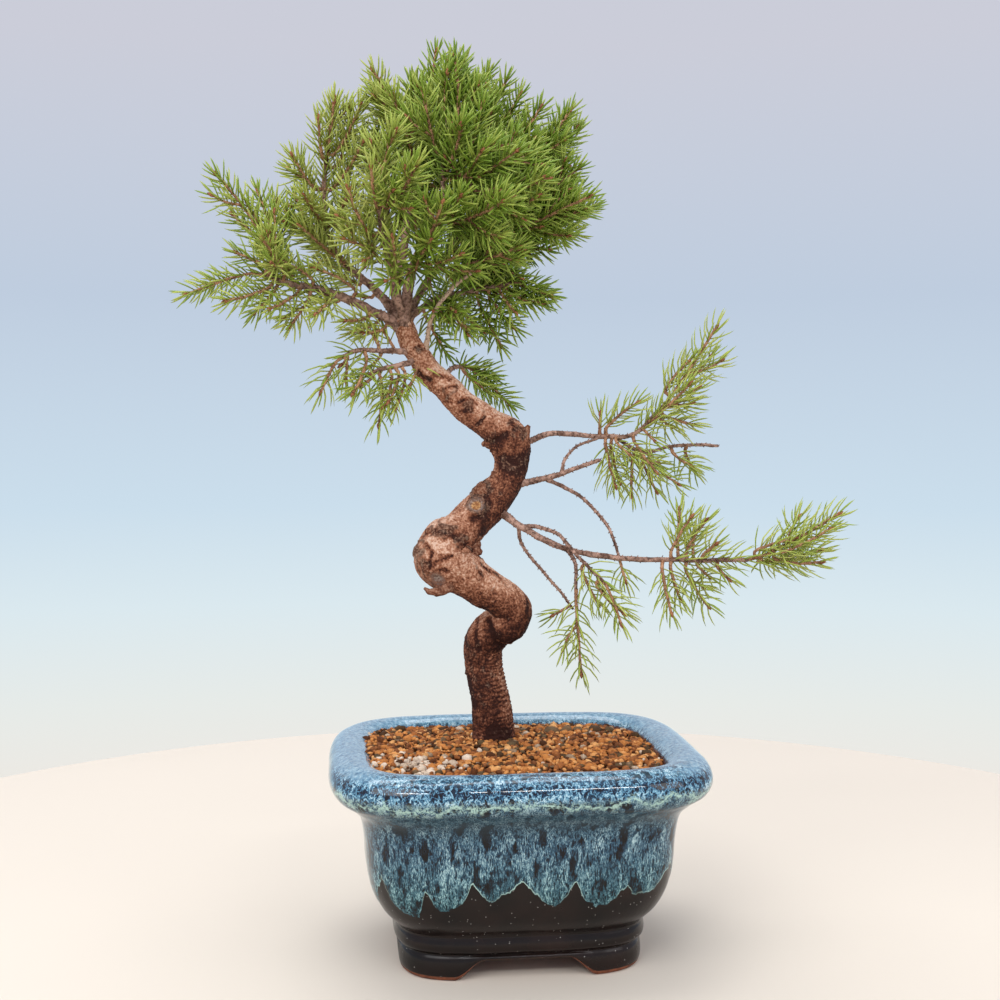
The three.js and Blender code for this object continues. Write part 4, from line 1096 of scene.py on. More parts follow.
# %% Torn stubs
STUBS = [
    [(-26, -5, 155, 4.2), (-29.5, -8.6, 151.8, 2.4), (-33.4, -9.6, 150.2, 1.7), (-36.7, -9.6, 150.5, 1.2),
     (-38.9, -9.6, 152, 0.5)],
    [(-31, -4, 162, 5), (-36, -7.5, 160.5, 3.2), (-38, -9, 158, 1.8)],
    [(-1, 9, 211, 5), (1, 6, 215.5, 3), (1.5, 5, 218.4, 1.6)],
    [(-1, 9, 211, 5), (3.6, 8, 215, 2.6), (5.8, 8, 218.6, 0.9)],
    [(-2, 9, 211, 5), (-1, 4, 216, 2.4), (-0.5, 3, 218, 0.8)],
    [(-8, 8, 211, 4), (-12.5, 6, 211, 1.8), (-14.2, 5.6, 210.3, 0.7)],
    [(-5, 8, 195.5, 4), (-9, 5, 197, 1.6), (-9.8, 4.4, 199.4, 0.6)],
    [(-13, 6, 187, 5), (-14.8, 3, 191.5, 3), (-13.8, 2.8, 194.6, 1.3)],
    [(-30, 4, 169, 5), (-35, -4, 174.5, 2.8), (-38, -6, 175, 0.9)],
    [(-24, 1, 162, 5), (-19.5, 0, 165.6, 4), (-16.1, -1.5, 166, 2), (-14.6, -1.8, 165.6, 0.8)],
    [(-21, 3, 170, 5), (-17.2, 1, 172, 3.6), (-14.9, 0, 172.8, 1.8)],
    [(-21, 3, 166, 5), (-17.6, 1, 168.6, 3.6), (-15.5, 0, 169.3, 1.8)],
    [(-6, 9, 131, 5), (-2.6, 9.6, 127.2, 2.3), (-1.2, 9.8, 125.8, 0.7)],
]
STUB_SIDES = 20


def ragged_tube(line):
    """A short tube whose radius is torn by noise of a third of its size."""
    curve = smooth_curve(line, 7)
    path, radius = curve[:, :3], curve[:, 3:]
    angle = 2 * np.pi * np.arange(STUB_SIDES) / STUB_SIDES
    torn = noise(np.stack(np.broadcast_arrays(
        path[:, :1] + 3 * np.cos(angle), path[:, 1:2] + 3 * np.sin(angle), path[:, 2:3]), -1), 1.4, 51)
    return tube(path, radius * (1 + 0.3 * torn), STUB_SIDES, rough=0.5, heartwood=0.0, weathered=0.45)


stubs = [ragged_tube(line) for line in STUBS]
print("stubs:", len(stubs))

# %% [markdown]
# ## Pegs and needles
#
# A peg and a needle are the same form at two sizes: a small three-sided blade that stands on a twig.
# Each goes a golden turn further round than the one before, which spreads them evenly on all sides,
# and all the blades of a twig are worked out in one array step.

# %% Blades along a twig
BLADE_RINGS = np.array([0.0, 0.45, 0.8])
BLADE_WIDTH = np.array([0.66, 1.0, 0.8])
BLADE_CORNERS = np.array([[1, -0.45], [0, 0.9], [-1, -0.45]]) / 2
BLADE_WALL = grid_faces(3, 3)
BLADE_ENDS = np.array([[2, 1, 0], [6, 7, 9], [7, 8, 9], [8, 6, 9]])
TIP_ANGLE, TIP_STRETCH = 24, 5


def blade_roots(path, spacing, bare, seed):
    """Where blades stand on a twig, from its tip back: their roots, the twig's direction there, a
    direction square to it that goes on by the golden turn, and the length back from the tip."""
    length = np.r_[0, np.cumsum(np.linalg.norm(np.diff(path, axis=0), axis=1))]
    back = np.arange(0, max(length[-1] - bare, 0.1), spacing)
    back = np.maximum(back + spacing * 0.6 * (draw(seed + np.arange(len(back))) - 0.5), 0)
    place = np.clip(length[-1] - back, 0, length[-1])
    root = np.stack([np.interp(place, length, path[:, k]) for k in range(3)], 1)
    all_along, all_across, _ = frames(path)
    nearest = np.clip(np.searchsorted(length, place), 0, len(path) - 1)
    along, across = all_along[nearest], all_across[nearest]
    turn = GOLDEN_TURN * np.arange(len(back)) + 0.5 * draw(seed + 5.5 + np.arange(len(back)))
    side = across * np.cos(turn)[:, None] + np.cross(along, across) * np.sin(turn)[:, None]
    return root, along, side, back


def blade_shape(roots, length, width, open_angle, curl, seed):
    """All the blades on some twigs. A point at the share t of a blade lies at its root, plus its
    length times t along its aim, plus a forward curve that grows as t squared. Near a twig's tip the
    blades close up round the bud."""
    root, along, side, back = (np.concatenate(part) for part in zip(*roots))
    count = len(root)
    vary = draw(seed + 0.37 * np.arange(count))
    rise = np.minimum(back / TIP_STRETCH, 1)
    opened = np.radians(TIP_ANGLE + (open_angle - TIP_ANGLE) * rise + 18 * (vary - 0.5))[:, None]
    aim = unit(along * np.cos(opened) + side * np.sin(opened) + [0, 0, 0.1])
    size = length * (0.84 + 0.3 * draw(seed + 9 + 0.71 * np.arange(count))) * (0.8 + 0.2 * rise)
    across = unit(np.cross(aim, side + [0.013, 0.007, 0.003]))
    square = np.cross(aim, across)
    bend = (along - aim * np.sum(along * aim, 1, keepdims=True)) * curl * (0.5 + vary)[:, None]
    t = BLADE_RINGS[None, :, None]
    line = root[:, None] + size[:, None, None] * (aim[:, None] * t + bend[:, None] * t**2)
    corner = width * BLADE_CORNERS
    rings = (line[:, :, None] + BLADE_WIDTH[None, :, None, None] * (
        across[:, None, None] * corner[:, :1] + square[:, None, None] * corner[:, 1:]))
    tips = root[:, None] + size[:, None, None] * (aim + bend)[:, None]
    points = np.concatenate([rings.reshape(count, 9, 3), tips], 1)
    first = (np.arange(count) * 10)[:, None, None]
    return {
        "points": points.reshape(-1, 3),
        "faces": [((BLADE_WALL + first).reshape(-1, 4), 0), ((BLADE_ENDS + first).reshape(-1, 3), 0)],
        "marks": {"reach": np.tile(np.r_[np.repeat(BLADE_RINGS, 3), 1.0], count),
                  "tint": np.repeat(vary, 10)},
    }


def recast(shape, finish, **marks):
    """The same shape in another finish, with marks that are even all over."""
    count = len(shape["points"])
    faces = [(corners, finish) for corners, _ in shape["faces"]]
    return {"points": shape["points"], "faces": faces,
            "marks": {name: np.full(count, value) for name, value in marks.items()}}


print("triangles in a blade:", 2 * len(BLADE_WALL) + len(BLADE_ENDS))

# %% [markdown]
# ## Branches
#
# The branches keep the scars of every needle that they dropped, as small pegs that spiral round them.
# Each branch is a tube along its own curve, thicker where it leaves its parent, with a row of low
# pegs worked into its radius.

# %% The branches
LIMBS = {
    "stem_a": (2.9, 1, (-47, 2, 259), (-50, 4, 275), (-48, 6, 286), (-45, 9, 307), (-45, 8, 331),
        (-50, 5, 340)),
    "stem_b": (2.9, 1, (-47, 1, 260), (-45, -2, 274), (-42, -6, 286), (-31, -13, 303), (-19, -18, 316)),
    "stem_c": (1.2, 0.8, (-31, -13, 303), (-31, -12, 317), (-30, -8, 343)),
    "stem_e": (2, 0.9, (-47, 3, 260), (-38, 14, 277), (-24, 24, 297), (-12, 28, 316)),
    "stem_f": (2, 0.9, (-48, 3, 262), (-51, 18, 284), (-54, 30, 305), (-52, 36, 324)),
    "stem_g": (1.8, 0.9, (-47, 0, 262), (-52, -14, 282), (-56, -24, 298), (-55, -30, 314)),
    "stem_h": (1.7, 0.9, (-46, 4, 262), (-34, 9, 271), (-18, 9, 275), (-2, 7, 278)),
    "bare_twig": (1.1, 0.7, (-38, 2, 249), (-36, -4, 261), (-33, -8, 267), (-26, -11, 275), (-18, -14, 281)),
    "left": (2.5, 1, (-47, 2, 258), (-57, -2, 264), (-76, -9, 272), (-95, -12, 276), (-103, -12, 279)),
    "upper_left": (2.3, 0.9, (-48, 3, 262), (-58, 6, 274), (-76, 11, 292), (-80, 12, 312), (-78, 10, 336)),
    "lower_left": (1.4, 0.8, (-44, 2, 249), (-55, -4, 249), (-65, -9, 249), (-72, -12, 246)),
    "lower_left_b": (1.4, 0.8, (-41, 2, 246), (-49, -4, 243), (-57, -8, 241), (-62, -10, 239)),
    "back_twig": (1.4, 0.8, (-31, 5, 238), (-26, 14, 243), (-20, 24, 244)),
    "right_1": (1.55, 0.9, (0, 9, 210), (7, 11, 212), (15, 13, 215), (38, 16, 214), (52, 17, 215),
        (65, 18, 227)),
    "right_1b": (0.95, 0.75, (37, 16, 214), (45, 19, 213), (56, 20, 207), (73, 24, 210), (91, 27, 209.5)),
    "right_2": (1.7, 0.85, (0, 8, 194), (11, 6, 196), (21, 4, 199), (35, 0, 204)),
    "hook_twig": (0.75, 0.6, (19, 4, 198), (21, 6, 204), (25, 8, 209), (35.5, 12.5, 213)),
    "arch_twig": (0.9, 0.65, (13, 6, 196), (25, 2, 190), (31, 0, 185), (38, -3, 176), (42, -6, 164)),
    "right_3": (1.9, 0.9, (-8, 6, 183), (2, 1, 176), (11, -2, 171), (30, -6, 165), (63, -11, 163),
        (95, -13, 163)),
    "over_twig": (1.0, 0.75, (1, 1, 176), (9, 0, 176), (17, -5, 173), (26, -12, 163), (34, -16, 155)),
    "thin_twig": (0.8, 0.6, (1, 2, 176), (2, 6, 169), (8, 9, 161), (20, 12, 147), (25, 13, 140)),
    "drop_twig": (0.9, 0.75, (21, -4, 167), (24, -7, 161), (24, -8, 151)),
}
LIMB_SIDES = 12
UNDER_SCARS = 0.86
PEG_STEP, PEG_LENGTH, PEG_WIDTH = 0.8, 0.75, 0.6


def tapered(limb):
    """A branch's points with its radius thinning evenly from root to tip."""
    root, tip, *points = limb
    return np.c_[points, np.linspace(root, tip, len(points))]


def pegged_radius(path, radius, sides, height):
    """The radius of a twig with leaf scars: a bump wherever a spiral of five starts passes, as the
    raised part of a cosine of the angle and of the length along it."""
    length = np.r_[0, np.cumsum(np.linalg.norm(np.diff(path, axis=0), axis=1))][:, None]
    angle = 2 * np.pi * np.arange(sides) / sides
    spiral = np.cos(2 * angle + length * 2.6) * np.cos(3 * angle - length * 1.9)
    lumps = noise(path, 2.5, 61)[:, None]
    return np.reshape(radius, (-1, 1)) * (1 + height * np.maximum(spiral, 0) + 0.5 * height * lumps)


def limb_shape(limb, weathered):
    """One branch, with a flare of half its radius over the first 3 mm."""
    points = tapered(limb)
    spans = np.linalg.norm(np.diff(points[:, :3], axis=0), axis=1)
    curve = smooth_curve(points, max(3, int(np.ceil(spans.mean() / 0.9))))
    path, radius = curve[:, :3], curve[:, 3]
    wander = np.stack([noise(path, 6, 62 + k) for k in range(3)], 1)
    path = path + 0.35 * wander * np.minimum(1, np.arange(len(path)) / 6)[:, None]
    length = np.r_[0, np.cumsum(np.linalg.norm(np.diff(path, axis=0), axis=1))]
    radius = radius * UNDER_SCARS * (1 + 0.5 * np.exp(-length / 3))
    reach = pegged_radius(path, radius, LIMB_SIDES, 0.26)
    skin = tube(path, reach, LIMB_SIDES, 1, rough=0.0, heartwood=0.0, weathered=weathered)
    pegs = blade_shape(
        [blade_roots(path, PEG_STEP, 2, 7.7)], radius.mean() + PEG_LENGTH, PEG_WIDTH, 62, 0.1, 4.2)
    return join([skin, recast(pegs, 1, rough=0.0, heartwood=0.0, weathered=weathered)])


limbs = [limb_shape(limb, 0.85 * (name == "bare_twig")) for name, limb in LIMBS.items()]
print("branches:", len(limbs))


# %% [markdown]
# Bark is a tan skin that reddens with age. Where it flakes, dark cork shows, with a little grey
# lichen. Both the trunk and the branches are mixed from the same patches, at other scales: the
# branches are more orange and have their colour in short bands.


# %% Bark
def make_bark():
    """Old bark: red-brown that weathers to tan, with painted light and shade in the same mark, mottled
    and flecked, with dark cork where it is rough and pale wood where the heart shows."""
    material, tree, shader = new_material("old_bark", Roughness=0.85, Specular_IOR_Level=0.25)
    rough, heart, weathered = (read_mark(tree, m) for m in ("rough", "heartwood", "weathered"))
    broad = use(tree, PATCHES, "Height", Scale=190.0, Detail=3.0)
    fine = use(tree, PATCHES, "Height", Scale=1100.0, Detail=6.0)
    medium = use(tree, PATCHES, "Height", Scale=420.0, Detail=4.0)
    # The mark brings weathering together with painted light and shade.
    age = weathered
    for field, strength in ((broad, 0.7), (medium, 0.6), (fine, 1.5)):
        age = calc(tree, "ADD", age, calc(tree, "MULTIPLY", calc(tree, "SUBTRACT", field, 0.5), strength))
    skin = ramp(tree, age, (0.0, srgb(48, 20, 12)), (0.25, srgb(94, 51, 34)), (0.5, srgb(145, 92, 66)),
                (0.75, srgb(190, 139, 111)), (1.0, srgb(222, 184, 160)))
    dots = use(tree, SPECKS, Scale=1000.0, Size=0.27, Share=0.5)
    skin = blend(tree, calc(tree, "MULTIPLY", dots, 0.35), skin, srgb(86, 46, 32))
    lichen = use(tree, PATCHES, Scale=260.0, Low=0.56, High=0.66)
    cork = ramp(tree, fine, (0.34, srgb(32, 18, 13)), (0.5, srgb(76, 46, 34)), (0.66, srgb(150, 114, 92)))
    cork = blend(tree, calc(tree, "MULTIPLY", lichen, 0.35), cork, srgb(148, 130, 112))
    ragged = calc(tree, "ADD", rough, calc(tree, "MULTIPLY", calc(tree, "SUBTRACT", fine, 0.5), 1.6))
    bark = blend(tree, calc(tree, "MULTIPLY", fade(tree, ragged, 0.25, 0.85), 0.85), skin, cork)
    wood = blend(tree, fade(tree, fine, 0.4, 0.6), srgb(200, 150, 98), srgb(142, 92, 56))
    grey = blend(tree, fade(tree, fine, 0.35, 0.6), srgb(178, 158, 146), srgb(112, 86, 74))
    wood = blend(tree, fade(tree, heart, 0.5, 0.85), grey, wood)
    tree.links.new(blend(tree, fade(tree, heart, 0.0, 0.5), bark, wood), shader.inputs["Base Color"])
    bump(tree, shader, fine, 0.6)
    return material


def make_branch_bark(name, young, old, dark):
    """Thin bark: from a young to an old colour in patches, with dark leaf scars."""
    material, tree, shader = new_material(name, Roughness=0.75, Specular_IOR_Level=0.3)
    broad = use(tree, PATCHES, "Height", Scale=160.0, Detail=3.0)
    fine = use(tree, PATCHES, "Height", Scale=620.0, Detail=5.0)
    age = fade(tree, calc(tree, "ADD", broad, fine), 0.8, 1.2)
    scar = use(tree, PATCHES, Scale=900.0, Low=0.53, High=0.63)
    colour = blend(tree, read_mark(tree, "weathered"), blend(tree, age, young, old), srgb(196, 166, 142))
    colour = blend(tree, calc(tree, "MULTIPLY", scar, 0.65), colour, dark)
    tree.links.new(colour, shader.inputs["Base Color"])
    bump(tree, shader, use(tree, PATCHES, "Height", Scale=1200.0), 0.2)
    return material


branch_bark = make_branch_bark("branch_bark", srgb(184, 146, 128), srgb(98, 68, 54), srgb(46, 27, 20))
tree_piece = make_piece(
    "tree_wood", plant(join([trunk, *stubs, *limbs])), [make_bark(), branch_bark], "bark", "tree")
print("tree triangles:", triangles(tree_piece))

# %% [markdown]
# ## Shoots
#
# A spruce shoot is a brush: single stiff needles all round a thin twig, leaning forward, each set on
# a peg and curved a little towards the tip, where a red-brown bud sits. Drawing a picture of needles
# on flat cards would be light, but it would fall apart in a side view, so each needle is a real blade.
#
# Each shoot has its branch, how far out on it it stands, and where its tip is. The first list holds
# those that have a solid of their own. The second fills the room between them, and each of its shoots
# belongs to the piece whose tip is nearest. The outer part of a branch has needles too.

# %% The shoots' places
SHOOTS = [
    ("stem_a", 1, (-56, 2, 353)), ("stem_a", 0.95, (-60, 14, 361)), ("stem_a", 0.9, (-43, 15, 363)),
    ("stem_a", 0.68, (-69, 24, 342)), ("stem_c", 1, (-29, -8, 364)), ("stem_c", 0.87, (-20, -1, 359)),
    ("stem_c", 0.55, (-23, -26, 338)), ("stem_b", 0.98, (-12, -25, 329)),
    ("stem_b", 0.97, (11, -18, 317)), ("stem_b", 1, (9, -4, 330)), ("stem_b", 0.75, (-5, -38, 306)),
    ("stem_b", 0.5, (-1, -16, 290)), ("stem_b", 0.45, (-32, -44, 303)), ("stem_e", 1, (-12, 12, 360)),
    ("stem_e", 0.94, (4, 31, 352)), ("stem_e", 0.88, (9, 9, 338)), ("stem_e", 0.97, (22, 28, 341)),
    ("stem_e", 0.82, (27, 13, 327)), ("stem_e", 0.78, (8, 46, 334)), ("stem_f", 1, (-38, 34, 360)),
    ("stem_f", 0.94, (-21, 50, 346)), ("stem_f", 0.9, (-57, 50, 341)), ("stem_f", 0.7, (-35, 56, 318)),
    ("stem_g", 1, (-51, -34, 332)), ("stem_g", 0.8, (-42, -48, 316)), ("stem_g", 0.5, (-70, -30, 291)),
    ("stem_e", 0.72, (29, 6, 309)), ("stem_h", 1, (15, 8, 273)), ("stem_h", 0.93, (7, 29, 295)),
    ("stem_h", 0.37, (-21, -10, 258)), ("stem_h", 0.6, (-4, 44, 288)), ("upper_left", 1, (-75, 8, 353)),
    ("upper_left", 0.8, (-92, 4, 329)), ("upper_left", 0.62, (-68, -6, 314)),
    ("upper_left", 0.55, (-94, 0, 305)), ("upper_left", 0.5, (-86, 30, 300)),
    ("left", 1, (-133.5, -10, 271)), ("left", 0.95, (-121, -14, 318)), ("left", 0.9, (-106, 0, 314)),
    ("left", 0.75, (-101, -34, 290)), ("left", 0.6, (-92, -18, 258)),
    ("lower_left", 1, (-80, -15, 232)), ("lower_left", 0.6, (-67, -24, 231)),
    ("lower_left_b", 0.7, (-57, -12, 219)), ("back_twig", 1, (-8, 32, 240)),
    ("right_1", 1, (88, 18, 261)), ("right_1", 0.9, (74, 6, 236)), ("right_1", 0.79, (60, 8, 199)),
    ("right_1", 0.62, (43, 10, 193)), ("right_3", 1, (132, -16, 182)), ("right_3", 0.8, (70, -18, 181)),
    ("right_3", 0.78, (62, -18, 142)), ("right_3", 0.84, (80, -6, 143)),
    ("over_twig", 1, (41, -20, 138)), ("drop_twig", 1, (26, -10, 116)),
]
FILL = {
    "stem_e": [(0.9, -3, 20, 365), (0.92, 24, 17, 352), (0.88, 29, 31, 348), (0.95, 11, 12, 352),
        (0.93, 3, 20, 359), (0.85, 23, 27, 350), (0.8, 21, 41, 346), (0.6, 30, 35, 322),
        (0.62, 35, 22, 313), (0.7, 29, -7, 312), (0.5, 20, 51, 318), (0.66, 7, -20, 310)],
    "stem_f": [(0.97, -10, 28, 370), (0.95, -21, 29, 375)],
    "stem_a": [(0.9, -33, 8, 373), (0.9, -59, 4, 364), (0.8, -51, -10, 351)],
    "stem_c": [(0.9, -26, -6, 368), (0.7, -39, -22, 350), (0.5, -15, -17, 347)],
    "upper_left": [(0.97, -75, 2, 350), (0.93, -81, -2, 343), (0.9, -69, 9, 348), (0.8, -63, -6, 333),
        (0.72, -90, 18, 330), (0.62, -86, -20, 309), (0.5, -91, 4, 312), (0.42, -88, -12, 298),
        (0.66, -69, 27, 329), (0.36, -62, 19, 312), (0.25, -63, 7, 272), (0.95, -64, -3, 349),
        (0.33, -78, 17, 287)],
    "stem_g": [(0.6, -68, -37, 309), (0.4, -61, -27, 294), (0.35, -51, -36, 291), (0.8, -59, -43, 316)],
    "left": [(0.85, -116, -25, 267), (0.8, -107, -7, 264), (0.66, -99, -26, 264), (0.97, -113, -15, 287),
        (0.6, -94, -20, 283), (0.5, -81, -28, 262), (0.45, -82, -4, 270), (0.4, -81, -14, 281),
        (0.3, -70, -19, 260), (0.16, -63, -9, 256), (0.22, -68, 3, 257), (0.96, -109, -11, 307),
        (0.9, -116, -1, 304), (0.92, -99, -30, 293), (0.7, -101, 10, 291)],
    "lower_left": [(0.95, -70, -13, 237), (0.9, -72, -11, 243), (0.2, -55, 2, 257), (0.36, -60, -3, 243),
        (0.4, -59, -5, 255)],
    "lower_left_b": [(0.9, -67, -17, 233), (0.4, -53, -18, 228), (0.5, -55, -16, 226),
        (0.3, -50, -14, 226), (0.1, -45, -8, 234)],
    "stem_h": [(0.2, -29, 21, 250), (0.4, -26, -9, 265), (0.5, -13, 19, 259), (0.8, -0, 14, 260),
        (0.95, 11, 9, 270), (0.7, -5, 24, 253), (0.9, -1, -4, 265)],
    "back_twig": [(1, -1, 30, 228), (0.8, -10, 26, 233)],
    "right_1": [(0.59, 37, 14, 223), (0.62, 52, 10, 228), (0.66, 47, 24, 194), (0.68, 49, 10, 206),
        (0.97, 77, 15, 219), (0.95, 71, 29, 218), (0.85, 60, 11, 212)],
    "right_1b": [(0.45, 51, 16, 189), (0.55, 73, 25, 193), (0.5, 63, 23, 190), (0.7, 78, 23, 201),
        (0.8, 82, 32, 198), (0.5, 66, 33, 202), (0.4, 54, 30, 203)],
    "right_3": [(0.82, 69, 1, 183), (0.8, 67, -11, 147), (0.84, 77, -13, 179), (0.86, 75, 1, 173),
        (0.88, 80, -19, 170), (0.87, 81, -4, 155), (0.92, 87, -12, 155)],
    "right_3_end": [(0.2, 114, -17, 172), (0.45, 125, -15, 162), (0.3, 123, -1, 162),
        (0.5, 127, -20, 176), (0.35, 129, -2, 166)],
    "right_1_end": [(0.2, 80, 16, 235), (0.1, 76, 13, 228), (0.45, 88, 28, 249), (0.35, 76, 19, 246)],
    "over_twig": [(0.78, 33, -9, 145), (0.97, 42, -18, 142)],
    "arch_twig": [(1, 45, -6, 154)],
    "thin_twig": [(0.95, 17, 14, 137)],
}
LEAFY_FROM = {
    "left": 0.45, "upper_left": 0.36, "lower_left": 0.55, "lower_left_b": 0.4, "stem_a": 0.62, "stem_b": 0.6,
    "stem_c": 0.4, "stem_e": 0.6, "stem_f": 0.6, "stem_g": 0.5, "stem_h": 0.35, "back_twig": 0.7,
    "right_1": 0.8, "right_3": 0.82, "over_twig": 0.8,
}
STEM_BOW, SEAT, GAP = 0.12, 0.5, 0.3


def shoot_stem(limb_name, share, tip):
    """The path of a shoot's stem: out of its branch squarely, or on along it at its end, then bowed
    to its tip. The branch may itself be the shoot at another one's end."""
    if limb_name.endswith("_end"):
        limb = end_shoot(limb_name.removesuffix("_end"))
    else:
        limb = smooth_curve(tapered(LIMBS[limb_name]), 2)
    place = min(share * (len(limb) - 1), len(limb) - 1)
    low = min(int(place), len(limb) - 2)
    root = limb[low] + (limb[low + 1] - limb[low]) * (place - low)
    along = unit(limb[low + 1, :3] - limb[low, :3])
    out = np.array(tip, float) - root[:3]
    out = unit(unit(out) + along) if share == 1 else unit(out - along * (out @ along))
    start = root[:3] + out * (GAP + (SEAT if share == 1 else root[3] + 0.1))
    length = np.linalg.norm(tip - start)
    middle = (start + tip) / 2 + out * STEM_BOW * length
    stem = smooth_curve([start, start + out * STEM_BOW * length, middle, tip], 8)
    return np.vstack([root[:3], stem])


def end_shoot(limb_name):
    """The stem of the shoot at a branch's end, with its radius."""
    stem = next(shoot_stem(*place) for place in SHOOTS if place[:2] == (limb_name, 1))
    return np.c_[stem, np.full(len(stem), 0.7)]


def leafy_stretch(limb_name, share):
    """The outer part of a branch, from this share of its length, which still holds its needles."""
    limb = smooth_curve(tapered(LIMBS[limb_name]), 8)
    return limb[int(share * (len(limb) - 1)):, :3]


print("shoots:", len(SHOOTS), "and between them:", sum(len(places) for places in FILL.values()))

# %% [markdown]
# Side twigs leave a stem all round it. The solids hold one to four of them on each shoot. The rest
# fill the gaps between by the same rule: each leaves further on and a golden turn round from the one
# before, leans forward, and is shorter towards the tip.

# %% Twigs
TWIG_STEP, TWIG_SHARE = 4.6, 0.46
VIGOUR = {
    "left": 0.28, "upper_left": 0.42, "lower_left": 0.15, "lower_left_b": 0.2, "back_twig": 0.2,
    "stem_h": 0.36, "right_1": 0.12, "right_3": 0.2, "over_twig": 0.1, "drop_twig": 0.2,
}
CROWN_VIGOUR, FILL_VIGOUR = 0.68, 0.26
STEM_RADII, TWIG_RADII = (0.76, 0.52), (0.52, 0.38)
STEM_BARE, TWIG_BARE = 3, 1.5


def side_twigs(stem, vigour, seed):
    """Paths of twigs that leave the stem between a fifth and nine tenths of its length."""
    length = np.linalg.norm(np.diff(stem, axis=0), axis=1).sum()
    count = int(vigour * length / TWIG_STEP)
    along, across, other = frames(stem)
    twigs = []
    for i in range(count):
        place = (0.2 + 0.7 * (i + 0.5) / count) * (len(stem) - 1)
        low = int(place)
        start = stem[low] + (stem[low + 1] - stem[low]) * (place - low)
        turn = GOLDEN_TURN * i + 6.28 * draw(seed)
        aside = across[low] * np.cos(turn) + other[low] * np.sin(turn)
        left = np.linalg.norm(stem[-1] - start)
        reach = (4.5 + TWIG_SHARE * left) * (0.8 + 0.35 * draw(seed + 3 * i))
        end = start + reach * (0.76 * along[low] + 0.66 * aside) + [0, 0, 0.06 * reach]
        middle = (start + end) / 2 + 0.09 * reach * aside
        twigs.append(smooth_curve([start, middle, end], 5))
    return twigs


def twig_shape(path, root, tip):
    """A thin pegged twig."""
    radius = np.linspace(root, tip, len(path))
    return tube(path, pegged_radius(path, radius, 6, 0.35), 6, 1, reach=0.0, tint=0.5)


def bud(path):
    """A bud: an egg of 6 sides, its radius a sine of the way to its tip, slimmer at its end."""
    along = unit(path[-1] - path[-2])
    t = np.linspace(0, 1, 5)
    line = path[-1] + along * (2.9 * t[:, None] - 0.6)
    radius = 1.0 * np.sin(np.pi * (0.16 + 0.8 * t)) * (1 - 0.35 * t)
    return tube(line, radius, 6, 2, reach=0.0, tint=0.5)


print("twig step in mm:", TWIG_STEP)

# %% [markdown]
# Needles differ over the tree. In the crown they are short, dense and fresh green. On the left they
# turn yellow-green, and on the long lower branches they are longer, thinner set and olive.

# %% The needles' character on each branch
CHARACTER = {
    "crown": {"length": 10.2, "width": 0.92, "spacing": 0.44, "open": 60, "curl": 0.18},
    "left": {"length": 9.8, "width": 0.84, "spacing": 0.55, "open": 60, "curl": 0.22},
    "lower": {"length": 11, "width": 0.84, "spacing": 0.84, "open": 66, "curl": 0.46},
}


def character_of(limb_name, tip):
    """Lower branches have their own needles, and the crown's change towards the left."""
    if limb_name.startswith(("lower", "right", "over", "drop", "thin", "arch")):
        needle = dict(CHARACTER["lower"])
        needle["yellow"] = np.interp(tip[0], [-40, 20], [0.5, 0.72])
        return needle
    needle = dict(CHARACTER["left" if tip[0] < -58 or limb_name == "left" else "crown"])
    needle["yellow"] = np.interp(tip[0], [-104, -88, -60, -36], [0.5, 0.82, 0.82, 0.2])
    return needle


def shoot_shapes(limb_name, share, tip, vigour, seed):
    """A stem with its side twigs, buds and needles."""
    needle = character_of(limb_name, tip)
    needle["spacing"] *= 0.8 + 0.5 * draw(seed + 2)
    stem = shoot_stem(limb_name, share, tip)
    shapes = [twig_shape(stem, *STEM_RADII), bud(stem)]
    roots = [blade_roots(stem, needle["spacing"], STEM_BARE, 11 * seed)]
    for i, twig in enumerate(side_twigs(stem, vigour, seed)):
        shapes += [twig_shape(twig, *TWIG_RADII), bud(twig)]
        roots.append(blade_roots(twig, needle["spacing"], TWIG_BARE, 11 * seed + i + 1))
    return [needles_on(roots, needle, 3.1 * seed), *shapes]


def needles_on(roots, needle, seed):
    """Needles of this character at these roots, whose tint is partly their own and partly its."""
    shape = blade_shape(roots, *(needle[key] for key in ("length", "width", "open", "curl")), seed)
    shape["marks"]["tint"] = 0.45 * shape["marks"]["tint"] + 0.55 * needle["yellow"]
    return shape


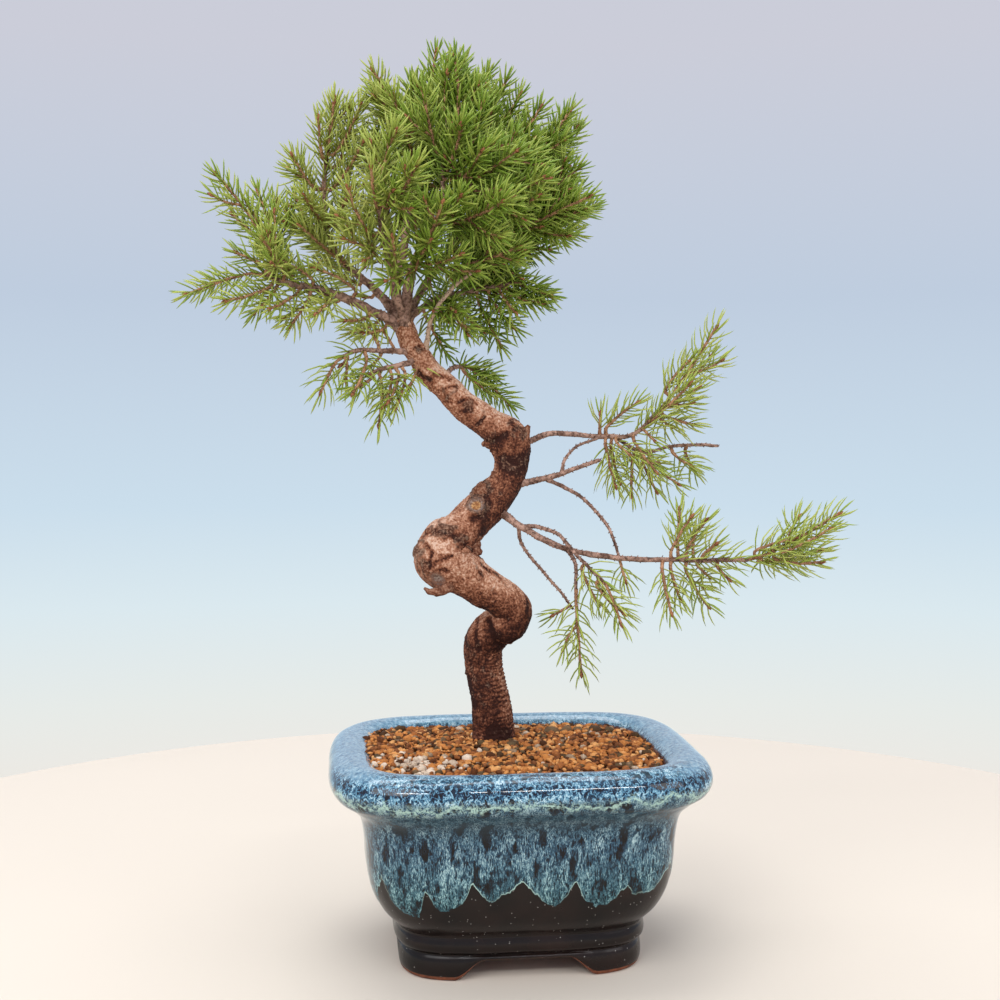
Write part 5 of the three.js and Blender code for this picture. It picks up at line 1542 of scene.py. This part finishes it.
# %% The needles' finish
def make_needle_finish():
    """Green, from deep to yellow by the needle's tint, paler at its root and tip, and waxy."""
    material, tree, shader = new_material("needles", Roughness=0.5, Specular_IOR_Level=0.35)
    tint, reach = read_mark(tree, "tint"), read_mark(tree, "reach")
    body = ramp(tree, tint, (0.0, srgb(97, 130, 32)), (0.3, srgb(136, 160, 54)), (0.6, srgb(178, 188, 88)),
                (1.0, srgb(198, 200, 114)))
    colour = blend(tree, calc(tree, "MULTIPLY", fade(tree, reach, 0.8, 1.0), 0.5), body, srgb(178, 194, 96))
    colour = blend(tree, fade(tree, reach, 0.22, 0.0), colour, srgb(168, 168, 78))
    mottle = use(tree, PATCHES, Scale=260.0, Low=0.35, High=0.7)
    colour = blend(tree, calc(tree, "MULTIPLY", mottle, 0.25), colour, srgb(88, 112, 36))
    tree.links.new(colour, shader.inputs["Base Color"])
    return material


NEEDLES = make_needle_finish()
TWIG_BARK = make_branch_bark("twig_bark", srgb(194, 146, 110), srgb(140, 97, 71), srgb(78, 50, 36))
BUDS = make_branch_bark("bud_scales", srgb(176, 116, 80), srgb(136, 82, 56), srgb(84, 42, 28))

shapes = [
    shoot_shapes(*place, VIGOUR.get(place[0], CROWN_VIGOUR), number)
    for number, place in enumerate(SHOOTS)]
ends = np.array([tip for _, _, tip in SHOOTS])


def nearest_shapes(place):
    """The list of shapes of the piece whose tip is nearest to a place."""
    return shapes[np.linalg.norm(ends - place, axis=1).argmin()]


for limb_name, places in FILL.items():
    for share, *tip in places:
        vigour = 0 if "_end" in limb_name else FILL_VIGOUR * VIGOUR.get(limb_name, CROWN_VIGOUR)
        nearest_shapes(tip).extend(shoot_shapes(limb_name, share, tip, vigour, 0.01 * sum(tip)))
for limb_name, share in LEAFY_FROM.items():
    path = leafy_stretch(limb_name, share)
    needle = character_of(limb_name, path[-1])
    roots = [blade_roots(path, needle["spacing"], 0, share)]
    nearest_shapes(path[-1]).append(needles_on(roots, needle, share))

total = 0
for number, (limb_name, _, _) in enumerate(SHOOTS):
    shape = plant(join(shapes[number]))
    node = f"shoot_{limb_name}_{number + 1:02d}"
    shoot = make_piece(node + "_leafy", shape, [NEEDLES, TWIG_BARK, BUDS], "needles", node)
    total += triangles(shoot)
print("shoot triangles:", total)

# %% [markdown]
# ## The size
#
# The finished surfaces' size is printed, beside the solids' size printed at the start. The
# surfaces may stand a little proud of the solids, and no more.

# %% Finish
visual_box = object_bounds()
sizes = {"cad": [list(c) for c in CAD_BOX], "visual": [list(c) for c in visual_box]}
print("visual size in mm:", [round(1000 * s, 1) for s in visual_box[1] - visual_box[0]])
